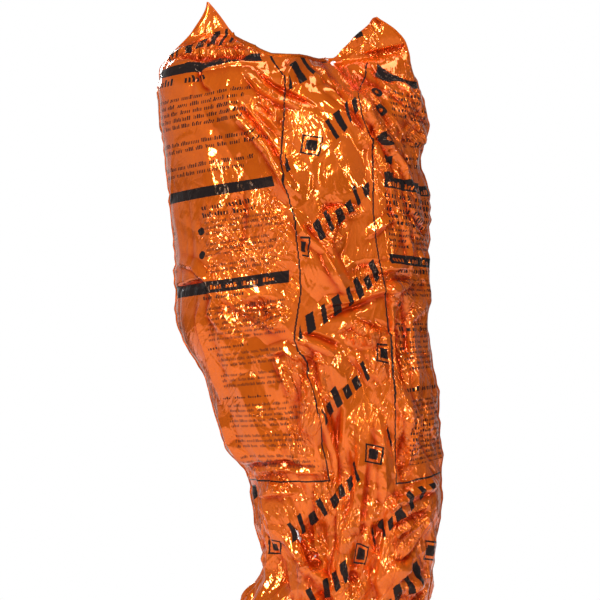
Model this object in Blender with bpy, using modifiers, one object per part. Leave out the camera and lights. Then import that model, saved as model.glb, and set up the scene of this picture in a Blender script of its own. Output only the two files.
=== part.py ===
"""Emergency bivvy bag of metallised film, standing open on its foot end as if somebody stood in it.

Units are metres, +Z is up and the printed front faces -Y.
The origin is on the floor, under the middle of the bag's outline.

The bag is two long film panels, welded together down both sides and across the foot.
Long folds run down both panels, where the film bunches round the person inside.
Its mouth is at the top. The two corners of the mouth stand up as peaks, and fold over at a crease.
At the foot the two bottom corners lie on the floor as flat triangles, and fold up.
"""

import math

import bmesh
import bpy
from mathutils import Vector

# The real film is a twentieth of a millimetre thick. It is modelled thicker, outwards from its inner face.
WALL = 0.0015
GAP = 0.0003

# The bag's outline seen from the front: height above the floor, then distance across from the middle.
LEFT_EDGE = [
    (0.000, -0.256),
    (0.120, -0.236),
    (0.250, -0.186),
    (0.361, -0.126),
    (0.434, -0.074),
    (0.509, -0.094),
    (0.645, -0.116),
    (0.713, -0.169),
    (0.850, -0.208),
    (1.015, -0.279),
    (1.156, -0.282),
    (1.361, -0.304),
    (1.520, -0.319),
    (1.565, -0.313),
    (1.606, -0.282),
    (1.652, -0.241),
    (1.720, -0.208),
]
RIGHT_EDGE = [
    (0.000, 0.256),
    (0.120, 0.264),
    (0.250, 0.277),
    (0.361, 0.288),
    (0.475, 0.304),
    (0.611, 0.319),
    (0.815, 0.311),
    (1.020, 0.283),
    (1.270, 0.292),
    (1.361, 0.273),
    (1.446, 0.287),
    (1.570, 0.251),
    (1.625, 0.238),
    (1.652, 0.217),
    (1.684, 0.172),
    (1.720, 0.130),
]

# Half of the bag's thickness from front to back, by height.
HALF_DEPTH = [
    (0.000, 0.170),
    (0.120, 0.164),
    (0.430, 0.142),
    (0.640, 0.146),
    (0.900, 0.176),
    (1.250, 0.188),
    (1.480, 0.184),
    (1.560, 0.172),
    (1.720, 0.150),
]
ROUNDNESS = 0.85

# The mouth's edge: share of the way from the left edge to the right one, then height.
MOUTH_EDGE = [
    (0.000, 1.720),
    (0.122, 1.679),
    (0.214, 1.643),
    (0.335, 1.615),
    (0.430, 1.597),
    (0.560, 1.591),
    (0.680, 1.592),
    (0.722, 1.615),
    (0.786, 1.643),
    (0.914, 1.670),
    (1.000, 1.684),
]

# Where front and back are pinched flat together, by the same share. Below it they open out over OPENS_OVER.
PINCH_HEIGHT = [
    (0.000, 1.641),
    (0.200, 1.646),
    (0.330, 1.660),
    (0.480, 1.660),
    (0.600, 1.616),
    (0.680, 1.583),
    (0.750, 1.588),
    (1.000, 1.606),
]
OPENS_OVER = 0.130
PINCHED = 0.0006

# The main folds of each panel: one end across and up, the other end across and up, half its width, its height.
FRONT_FOLDS = [
    (-0.160, 1.490, -0.030, 1.300, 0.060, 0.020),
    (0.000, 1.530, 0.090, 1.330, 0.055, 0.016),
    (0.130, 1.500, 0.230, 1.280, 0.055, 0.018),
    (-0.215, 1.330, -0.200, 1.150, 0.055, 0.012),
    (-0.080, 1.230, 0.080, 1.080, 0.060, 0.018),
    (0.180, 1.230, 0.215, 1.000, 0.055, 0.014),
    (-0.225, 1.120, -0.160, 0.880, 0.055, 0.016),
    (-0.080, 1.030, 0.060, 0.900, 0.060, 0.018),
    (0.170, 0.950, 0.240, 0.740, 0.055, 0.018),
    (-0.140, 0.850, -0.070, 0.700, 0.050, 0.016),
    (0.000, 0.850, 0.060, 0.640, 0.055, 0.020),
    (0.155, 0.760, 0.130, 0.520, 0.055, 0.020),
    (0.230, 0.600, 0.215, 0.400, 0.050, 0.018),
    (-0.050, 0.620, 0.030, 0.400, 0.055, 0.020),
    (0.110, 0.440, 0.085, 0.150, 0.055, 0.018),
    (0.200, 0.340, 0.215, 0.100, 0.055, 0.016),
    (-0.020, 0.330, -0.070, 0.100, 0.055, 0.018),
    (-0.130, 0.250, -0.170, 0.080, 0.050, 0.012),
]
BACK_FOLDS = [
    (-0.170, 1.500, -0.120, 1.290, 0.055, 0.016),
    (-0.020, 1.520, 0.020, 1.310, 0.060, 0.020),
    (0.130, 1.480, 0.190, 1.260, 0.055, 0.018),
    (-0.200, 1.230, -0.130, 1.030, 0.055, 0.016),
    (-0.030, 1.240, 0.090, 1.060, 0.060, 0.018),
    (0.200, 1.180, 0.160, 0.960, 0.055, 0.016),
    (-0.060, 1.020, -0.010, 0.820, 0.055, 0.018),
    (0.060, 0.960, 0.180, 0.800, 0.055, 0.018),
    (-0.150, 0.960, -0.110, 0.760, 0.050, 0.014),
    (0.230, 0.830, 0.225, 0.620, 0.050, 0.014),
    (0.020, 0.780, 0.110, 0.580, 0.055, 0.020),
    (-0.060, 0.700, 0.010, 0.500, 0.055, 0.018),
    (0.190, 0.600, 0.150, 0.390, 0.055, 0.018),
    (0.060, 0.490, 0.040, 0.260, 0.055, 0.018),
    (0.235, 0.400, 0.200, 0.140, 0.055, 0.014),
    (0.120, 0.320, 0.080, 0.090, 0.055, 0.018),
    (-0.060, 0.360, -0.100, 0.100, 0.055, 0.016),
]
FOLDS_FROM_SEAL = (0.25, 0.70)
FOLDS_BELOW_MOUTH = (0.080, 0.200)
FOLDS_ABOVE_FLOOR = (0.015, 0.090)

# The crease that each peak folds on: a point of it across and up, and its slope from the left to the right.
LEFT_CREASE = Vector((-0.2100, 0.0, 1.6540))
LEFT_CREASE_SLOPE = math.radians(5)
RIGHT_CREASE = Vector((0.1989, 0.0, 1.6110))
RIGHT_CREASE_SLOPE = math.radians(8)
PEAK_CLEARANCE = 0.0010
BODY_CLEARANCE = 0.0036
FLAT_BAND = 0.0100
LEFT_PEAK_ENDS = -0.100
RIGHT_PEAK_STARTS = 0.080

# Heat-sealed strips.
WELD_WIDTH = 0.006
WELD_THICKNESS = 0.0020
WELD_STARTS = 0.062
WELD_GAP = 0.0005
FOOT_WELD_HALF = 0.004
HEM_HEIGHT = 0.009
HEM_THICKNESS = 0.0020
HEM_GAP = 0.0008
HEM_FIRST_COLUMN, HEM_LAST_COLUMN = 7, 14

# The foot's corners, which lie flat on the floor.
CORNER_LENGTH = 0.056
CORNER_HALF_WIDTH = 0.058
CORNER_THICKNESS = 0.0030
CORNER_CLEARANCE = 0.0012

# Grid of each film panel.
COLUMNS = 24
ROWS = 34
PEAK_COLUMNS = 40
PEAK_ROWS = 76
BASE_SHARES = (0.0, 0.35, 0.70, 0.95)
FOOT_RADIUS = 0.012
FOOT_SEAM_SHARE = 0.94

FRONT, BACK = -1, 1


def between(points, at):
    """Reads a smooth curve through the points, which are sorted by their first number."""
    if at <= points[0][0]:
        return points[0][1]
    for index in range(len(points) - 1):
        if at <= points[index + 1][0]:
            break
    else:
        return points[-1][1]

    def slope(i):
        """The steepness at a point, flat where the curve turns so that it never overshoots."""
        if i in (0, len(points) - 1):
            return 0.0 if i else (points[1][1] - points[0][1]) / (points[1][0] - points[0][0])
        before = (points[i][1] - points[i - 1][1]) / (points[i][0] - points[i - 1][0])
        after = (points[i + 1][1] - points[i][1]) / (points[i + 1][0] - points[i][0])
        return 0.0 if before * after <= 0 else 2 * before * after / (before + after)

    (x0, y0), (x1, y1) = points[index], points[index + 1]
    width = x1 - x0
    t = (at - x0) / width
    rise = y0 * (1 + 2 * t) * (1 - t) ** 2 + y1 * t * t * (3 - 2 * t)
    return rise + width * (slope(index) * t * (1 - t) ** 2 - slope(index + 1) * t * t * (1 - t))


def half_depth(share, height):
    """Half the thickness of the bag at its middle, flattened towards the pinched peaks."""
    below = (between(PINCH_HEIGHT, share) - height) / OPENS_OVER
    opened = 1 - (1 - min(1.0, max(0.0, below))) ** 2
    return PINCHED + between(HALF_DEPTH, height) * opened


def grown(value, ends):
    """A share that grows from 0 at the first end to 1 at the second."""
    return min(1.0, max(0.0, (value - ends[0]) / (ends[1] - ends[0])))


def fold_height(face, turn, across, height):
    """How far a panel stands out in its main folds, which die out towards the seals, the mouth and the floor."""
    hold = grown(math.sin(math.pi * turn), FOLDS_FROM_SEAL) * grown(height, FOLDS_ABOVE_FLOOR)
    hold *= grown(mouth_height(turn) - height, FOLDS_BELOW_MOUTH)
    place = Vector((across, height))
    stands = 0.0
    for x0, z0, x1, z1, half_width, lift in FRONT_FOLDS if face == FRONT else BACK_FOLDS:
        start, run = Vector((x0, z0)), Vector((x1 - x0, z1 - z0))
        nearest = start + run * min(1.0, max(0.0, (place - start).dot(run) / run.length_squared))
        stands = max(stands, lift * grown((place - nearest).length, (half_width, 0.0)))
    return hold * stands


def film_point(face, turn, height):
    """A point of a panel's inner face. turn runs from 0 at the left edge to 1 at the right one."""
    share = (1 - math.cos(math.pi * turn)) / 2
    left, right = between(LEFT_EDGE, height), between(RIGHT_EDGE, height)
    bulge = math.sin(math.pi * turn) ** ROUNDNESS if 0 < turn < 1 else 0.0
    across = left + (right - left) * share
    deep = half_depth(share, height) * bulge + fold_height(face, turn, across, height)
    return Vector((across, face * (GAP / 2 + deep), height))


def mouth_height(turn):
    return between(MOUTH_EDGE, (1 - math.cos(math.pi * turn)) / 2)


def foot_point(face, turn, out):
    """A point of the base. out is 0 at the foot weld and 1 at the outline."""
    point = film_point(face, turn, FOOT_RADIUS)
    inner = FOOT_WELD_HALF + GAP
    shrink = FOOT_SEAM_SHARE + (1 - FOOT_SEAM_SHARE) * out
    return Vector((point.x * shrink, face * (inner + max(0.0, abs(point.y) - inner) * out), WALL))


def row_heights(top, rows):
    """The heights of a panel's rows above the base, closer together towards the mouth."""
    wall_rows = rows - len(BASE_SHARES)
    climbs = [row / wall_rows for row in range(wall_rows + 1)]
    return [FOOT_RADIUS + (top - FOOT_RADIUS) * climb * (1.55 - 0.55 * climb) for climb in climbs]


def panel(face, columns, rows, top_drop):
    """A panel's inner face as an open grid, from the foot weld to top_drop below the mouth's edge."""
    grid = bmesh.new()
    bmesh.ops.create_grid(grid, x_segments=columns, y_segments=rows, size=0.5)
    first_wall_row = len(BASE_SHARES)
    for vert in grid.verts:
        turn = vert.co.x + 0.5
        turn = turn if face == FRONT else 1 - turn
        row = round((vert.co.y + 0.5) * rows)
        if row < first_wall_row:
            vert.co = foot_point(face, turn, BASE_SHARES[row])
            continue
        heights = row_heights(mouth_height(turn) - top_drop, rows)
        vert.co = film_point(face, turn, heights[row - first_wall_row])
    return grid


def crease_up(slope):
    """The direction across a crease, pointing up into the peak."""
    return Vector((-math.sin(slope), 0.0, math.cos(slope)))


def cut(grid, point, upward, low_x, high_x, drop_below=False, drop_above=False):
    """Cuts the part of a grid between two distances across, and drops what it is told to."""
    faces = [f for f in grid.faces if low_x < f.calc_center_median().x < high_x]
    edges = {e for f in faces for e in f.edges}
    verts = {v for f in faces for v in f.verts}
    bmesh.ops.bisect_plane(
        grid,
        geom=[*verts, *edges, *faces],
        plane_co=point,
        plane_no=upward,
        clear_inner=drop_below,
        clear_outer=drop_above,
    )


def drop_faces(grid, low_x, high_x):
    """Removes what lies outside two distances across."""
    outside = [f for f in grid.faces if not low_x < f.calc_center_median().x < high_x]
    bmesh.ops.delete(grid, geom=outside, context="FACES")


def material(name, colour, roughness, metallic):
    made = bpy.data.materials.new(name)
    made.use_nodes = True
    shader = made.node_tree.nodes["Principled BSDF"]
    shader.inputs["Base Color"].default_value = (*colour, 1.0)
    shader.inputs["Roughness"].default_value = roughness
    shader.inputs["Metallic"].default_value = metallic
    return made


def add_object(name, grid, finish, thickness, offset):
    """Makes an object of an open grid and gives it its thickness. An offset of 1 grows it outwards."""
    mesh = bpy.data.meshes.new(name)
    grid.to_mesh(mesh)
    grid.free()
    mesh.materials.append(finish)
    mesh.shade_smooth()
    made = bpy.data.objects.new(name, mesh)
    parts.objects.link(made)
    shell = made.modifiers.new("thickness", "SOLIDIFY")
    shell.thickness = thickness
    shell.offset = offset
    return made


def add_body_panel(name, face):
    grid = panel(face, COLUMNS, ROWS, HEM_HEIGHT + HEM_GAP)
    for crease, slope, low_x, high_x in (
        (LEFT_CREASE, LEFT_CREASE_SLOPE, -1.0, LEFT_PEAK_ENDS),
        (RIGHT_CREASE, RIGHT_CREASE_SLOPE, RIGHT_PEAK_STARTS, 1.0),
    ):
        upward = crease_up(slope)
        flat_from = crease - upward * FLAT_BAND
        cut(grid, flat_from, upward, low_x, high_x)
        cut(grid, crease - upward * BODY_CLEARANCE, upward, low_x, high_x, drop_above=True)
        for vert in grid.verts:
            if low_x < vert.co.x < high_x and (vert.co - flat_from).dot(upward) > -0.0001:
                vert.co.y = face * min(abs(vert.co.y), GAP / 2 + PINCHED)
    return add_object(name, grid, film, WALL, 1.0)


def add_peak_panel(name, face, crease, slope, low_x, high_x):
    grid = panel(face, PEAK_COLUMNS, PEAK_ROWS, 0.0)
    drop_faces(grid, low_x, high_x)
    upward = crease_up(slope)
    cut(grid, crease + upward * PEAK_CLEARANCE, upward, -1.0, 1.0, drop_below=True)
    return add_object(name, grid, film, WALL, 1.0)


def add_side_weld(name, edge, rows, top, low, high):
    """A sealed strip along one side edge, outside the film, between two heights of the film's own rows."""
    heights = [height for height in row_heights(top, rows) if low < height < high]
    corners = [Vector((between(edge, height), 0.0, height)) for height in heights]
    after = [height for height in row_heights(top, rows) if height >= high][0]
    onward = Vector((between(edge, after), 0.0, after))
    corners.append(corners[-1].lerp(onward, (high - heights[-1]) / (after - heights[-1])))
    side = -1 if edge is LEFT_EDGE else 1
    grid = bmesh.new()
    bmesh.ops.create_grid(grid, x_segments=1, y_segments=len(corners) - 1, size=0.5)
    for vert in grid.verts:
        index = round((vert.co.y + 0.5) * (len(corners) - 1))
        run = corners[min(index + 1, len(corners) - 1)] - corners[max(index - 1, 0)]
        square = Vector((run.z, 0.0, -run.x)).normalized() * side
        vert.co = corners[index] + square * (WALL + WELD_GAP + WELD_WIDTH * (vert.co.x + 0.5))
    bmesh.ops.recalc_face_normals(grid, faces=grid.faces)
    return add_object(name, grid, weld, WELD_THICKNESS, 0.0)


def add_hem(name, face):
    """The folded and sealed edge of the mouth between the two peaks."""
    columns = HEM_LAST_COLUMN - HEM_FIRST_COLUMN
    grid = bmesh.new()
    bmesh.ops.create_grid(grid, x_segments=columns, y_segments=1, size=0.5)
    for vert in grid.verts:
        along = 0.5 + (-vert.co.x if face == BACK else vert.co.x)
        turn = (HEM_FIRST_COLUMN + columns * along) / COLUMNS
        vert.co = film_point(face, turn, mouth_height(turn) - HEM_HEIGHT * (0.5 - vert.co.y))
    return add_object(name, grid, hem, HEM_THICKNESS, 1.0)


def add_foot_weld():
    """The sealed strip across the foot, which lies flat between the two halves of the base."""
    left = LEFT_EDGE[0][1] * FOOT_SEAM_SHARE
    right = RIGHT_EDGE[0][1] * FOOT_SEAM_SHARE
    bpy.ops.mesh.primitive_cube_add(size=1, location=((left + right) / 2, 0.0, WALL / 2))
    made = bpy.context.object
    made.name = "foot_weld"
    made.scale = (right - left, 2 * FOOT_WELD_HALF, WALL)
    bpy.ops.object.transform_apply(location=False, rotation=False, scale=True)
    made.data.materials.append(weld)
    bpy.context.collection.objects.unlink(made)
    parts.objects.link(made)


def add_foot_corner(name, side):
    """A flat triangle of doubled film that lies on the floor, its origin on the edge that it folds on."""
    root = abs(LEFT_EDGE[0][1]) + WALL + CORNER_CLEARANCE
    outline = bpy.data.curves.new(name, "CURVE")
    outline.dimensions = "2D"
    outline.fill_mode = "BOTH"
    outline.extrude = CORNER_THICKNESS / 2
    spline = outline.splines.new("POLY")
    corners = [
        (0.0, -CORNER_HALF_WIDTH),
        (0.62 * CORNER_LENGTH, -0.36 * CORNER_HALF_WIDTH),
        (CORNER_LENGTH, 0.0),
        (0.62 * CORNER_LENGTH, 0.36 * CORNER_HALF_WIDTH),
        (0.0, CORNER_HALF_WIDTH),
    ]
    spline.points.add(len(corners) - 1)
    for point, (out, depth) in zip(spline.points, corners):
        point.co = (side * out, depth, 0.0, 1.0)
    spline.use_cyclic_u = True
    outline.materials.append(film)
    made = bpy.data.objects.new(name, outline)
    made.location = (side * root, 0.0, CORNER_THICKNESS / 2)
    parts.objects.link(made)


for old in list(bpy.data.objects):
    bpy.data.objects.remove(old)
parts = bpy.data.collections.new("emergency_bivvy_bag")
bpy.context.scene.collection.children.link(parts)

film = material("orange_metallised_film", (0.60, 0.125, 0.016), 0.28, 0.80)
weld = material("orange_heat_seal", (0.45, 0.080, 0.010), 0.38, 0.70)
hem = material("orange_folded_hem", (0.50, 0.090, 0.012), 0.34, 0.75)

add_body_panel("front_film", FRONT)
add_body_panel("back_film", BACK)

left_peak = (LEFT_CREASE, LEFT_CREASE_SLOPE, -1.0, LEFT_PEAK_ENDS)
right_peak = (RIGHT_CREASE, RIGHT_CREASE_SLOPE, RIGHT_PEAK_STARTS, 1.0)
for peak_name, peak in (("left_peak", left_peak), ("right_peak", right_peak)):
    add_peak_panel(peak_name + "_front_film", FRONT, *peak)
    add_peak_panel(peak_name + "_back_film", BACK, *peak)

left_crease_edge = 1.6515
right_crease_edge = 1.6165
body_drop = HEM_HEIGHT + HEM_GAP
for weld_name, edge, crease_height, tip in (
    ("left_side_weld", LEFT_EDGE, left_crease_edge, MOUTH_EDGE[0][1]),
    ("right_side_weld", RIGHT_EDGE, right_crease_edge, MOUTH_EDGE[-1][1]),
):
    stop = crease_height - BODY_CLEARANCE
    add_side_weld(weld_name, edge, ROWS, tip - body_drop, WELD_STARTS, stop)
    start = crease_height + PEAK_CLEARANCE
    peak_name = weld_name.replace("side", "peak")
    add_side_weld(peak_name, edge, PEAK_ROWS, tip, start, tip)

add_hem("front_mouth_hem", FRONT)
add_hem("back_mouth_hem", BACK)
add_foot_weld()
add_foot_corner("left_foot_corner", -1)
add_foot_corner("right_foot_corner", 1)
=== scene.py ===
"""Looks of an emergency bivvy bag: crumpled orange film, its print, seals, mouth edge and lining."""

import math
from functools import partialmethod

import bmesh
import bpy
import numpy as np
from bpy.props import FloatProperty, FloatVectorProperty, PointerProperty
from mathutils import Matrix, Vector
from mathutils.geometry import delaunay_2d_cdt


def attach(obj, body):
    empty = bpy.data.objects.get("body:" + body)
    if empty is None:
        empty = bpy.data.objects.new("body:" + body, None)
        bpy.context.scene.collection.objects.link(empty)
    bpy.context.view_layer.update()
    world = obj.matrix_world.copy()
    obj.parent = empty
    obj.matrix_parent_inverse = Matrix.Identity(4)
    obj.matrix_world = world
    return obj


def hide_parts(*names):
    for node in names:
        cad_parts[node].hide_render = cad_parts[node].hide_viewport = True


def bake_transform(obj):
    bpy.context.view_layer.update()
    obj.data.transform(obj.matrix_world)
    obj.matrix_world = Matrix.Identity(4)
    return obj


bl_info = {
    "name": "Emergency bivvy bag",
    "version": (1, 0, 0),
    "blender": (4, 5, 0),
    "location": "View3D > Sidebar > Bivvy bag",
    "description": "Builds a crumpled metallised film bag around its packed parts",
    "category": "Add Mesh",
}

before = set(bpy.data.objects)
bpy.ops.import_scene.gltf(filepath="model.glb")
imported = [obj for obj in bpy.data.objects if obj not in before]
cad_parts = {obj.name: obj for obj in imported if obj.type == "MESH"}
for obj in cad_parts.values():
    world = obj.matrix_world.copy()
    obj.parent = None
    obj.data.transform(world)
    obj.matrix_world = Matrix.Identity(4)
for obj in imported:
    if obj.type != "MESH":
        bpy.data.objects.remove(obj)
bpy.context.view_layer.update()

FRONT, BACK = -1, 1

# The bag's outline seen from the front: height above the floor, then distance across from the middle.
LEFT_EDGE = [
    (0.000, -0.256), (0.120, -0.236), (0.250, -0.186), (0.361, -0.126), (0.434, -0.074), (0.509, -0.094),
    (0.645, -0.116), (0.713, -0.169), (0.850, -0.208), (1.015, -0.279), (1.156, -0.282), (1.361, -0.304),
    (1.520, -0.319), (1.565, -0.313), (1.606, -0.282), (1.652, -0.241), (1.720, -0.208),
]
RIGHT_EDGE = [
    (0.000, 0.256), (0.120, 0.264), (0.250, 0.277), (0.361, 0.288), (0.475, 0.304), (0.611, 0.319),
    (0.815, 0.311), (1.020, 0.283), (1.270, 0.292), (1.361, 0.273), (1.446, 0.287), (1.570, 0.251),
    (1.625, 0.238), (1.652, 0.217), (1.684, 0.172), (1.720, 0.130),
]
# Half the bag's depth: height above the floor, then distance from the middle.
HALF_DEPTH = [
    (0.000, 0.170), (0.120, 0.164), (0.430, 0.142), (0.640, 0.146), (0.900, 0.176), (1.250, 0.188),
    (1.480, 0.184), (1.560, 0.172), (1.720, 0.150),
]
# The mouth's edge, and where the panels are pinched together: share of the width, then height.
MOUTH_EDGE = [
    (0.000, 1.720), (0.122, 1.679), (0.214, 1.643), (0.335, 1.615), (0.430, 1.597), (0.560, 1.591),
    (0.680, 1.592), (0.722, 1.615), (0.786, 1.643), (0.914, 1.670), (1.000, 1.684),
]
PINCH_HEIGHT = [
    (0.000, 1.641), (0.200, 1.646), (0.330, 1.660), (0.480, 1.660), (0.600, 1.616), (0.680, 1.583),
    (0.750, 1.588), (1.000, 1.606),
]
# How square the oval is, how far below the pinch the bag is fully open, and the panels' gap at the pinch.
ROUNDNESS, OPENS_OVER, PINCHED = 0.85, 0.130, 0.0006
# How far the film stands off that shape, the lowest heights of its base and of any of its points, its
# length from the foot seal to the wall, and the foot seal's length as a share of the foot's width.
FILM_STANDS_OFF, FILM_BOTTOM, LEAST_HEIGHT = 0.0012, 0.0006, 0.0004
FOOT_LENGTH, FOOT_SEAM_SHARE = 0.17, 0.94
BAG_HEIGHT = 1.72

# The main folds of each panel: one end across and up, the other end likewise, half its width, its height.
MAIN_FRONT_FOLDS = [
    (-0.160, 1.490, -0.030, 1.300, 0.060, 0.020), (0.000, 1.530, 0.090, 1.330, 0.055, 0.016),
    (0.130, 1.500, 0.230, 1.280, 0.055, 0.018), (-0.215, 1.330, -0.200, 1.150, 0.055, 0.012),
    (-0.080, 1.230, 0.080, 1.080, 0.060, 0.018), (0.180, 1.230, 0.215, 1.000, 0.055, 0.014),
    (-0.225, 1.120, -0.160, 0.880, 0.055, 0.016), (-0.080, 1.030, 0.060, 0.900, 0.060, 0.018),
    (0.170, 0.950, 0.240, 0.740, 0.055, 0.018), (-0.140, 0.850, -0.070, 0.700, 0.050, 0.016),
    (0.000, 0.850, 0.060, 0.640, 0.055, 0.020), (0.155, 0.760, 0.130, 0.520, 0.055, 0.020),
    (0.230, 0.600, 0.215, 0.400, 0.050, 0.018), (-0.050, 0.620, 0.030, 0.400, 0.055, 0.020),
    (0.110, 0.440, 0.085, 0.150, 0.055, 0.018), (0.200, 0.340, 0.215, 0.100, 0.055, 0.016),
    (-0.020, 0.330, -0.070, 0.100, 0.055, 0.018), (-0.130, 0.250, -0.170, 0.080, 0.050, 0.012),
]
MAIN_BACK_FOLDS = [
    (-0.170, 1.500, -0.120, 1.290, 0.055, 0.016), (-0.020, 1.520, 0.020, 1.310, 0.060, 0.020),
    (0.130, 1.480, 0.190, 1.260, 0.055, 0.018), (-0.200, 1.230, -0.130, 1.030, 0.055, 0.016),
    (-0.030, 1.240, 0.090, 1.060, 0.060, 0.018), (0.200, 1.180, 0.160, 0.960, 0.055, 0.016),
    (-0.060, 1.020, -0.010, 0.820, 0.055, 0.018), (0.060, 0.960, 0.180, 0.800, 0.055, 0.018),
    (-0.150, 0.960, -0.110, 0.760, 0.050, 0.014), (0.230, 0.830, 0.225, 0.620, 0.050, 0.014),
    (0.020, 0.780, 0.110, 0.580, 0.055, 0.020), (-0.060, 0.700, 0.010, 0.500, 0.055, 0.018),
    (0.190, 0.600, 0.150, 0.390, 0.055, 0.018), (0.060, 0.490, 0.040, 0.260, 0.055, 0.018),
    (0.235, 0.400, 0.200, 0.140, 0.055, 0.014), (0.120, 0.320, 0.080, 0.090, 0.055, 0.018),
    (-0.060, 0.360, -0.100, 0.100, 0.055, 0.016),
]
# Where the main folds begin and where they are fully grown.
FOLDS_FROM_SEAL = (0.25, 0.70)
FOLDS_BELOW_MOUTH = (0.080, 0.200)
FOLDS_ABOVE_FLOOR = (0.015, 0.090)

# Columns, rows of the wall and rows of the base in each panel's grid, and the bands it is kept in.
FILM_GRID = {FRONT: (400, 570, 30), BACK: (260, 356, 24)}
BANDS = {FRONT: 3, BACK: 1}
# The share of the wall's rows that lie below the picture, and the height where the picture starts.
ROWS_BELOW_VIEW, VIEW_STARTS = 0.09, 0.36

# The creases that the mouth's corners fold over: a point, the way up from it, and where the corner ends.
LEFT_CREASE = Vector((-0.2100, 0.0, 1.6540))
LEFT_CREASE_UP = Vector((-math.sin(math.radians(5)), 0.0, math.cos(math.radians(5))))
RIGHT_CREASE = Vector((0.1989, 0.0, 1.6110))
RIGHT_CREASE_UP = Vector((-math.sin(math.radians(8)), 0.0, math.cos(math.radians(8))))
LEFT_PEAK_ENDS = -0.100
RIGHT_PEAK_STARTS = 0.080

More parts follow.
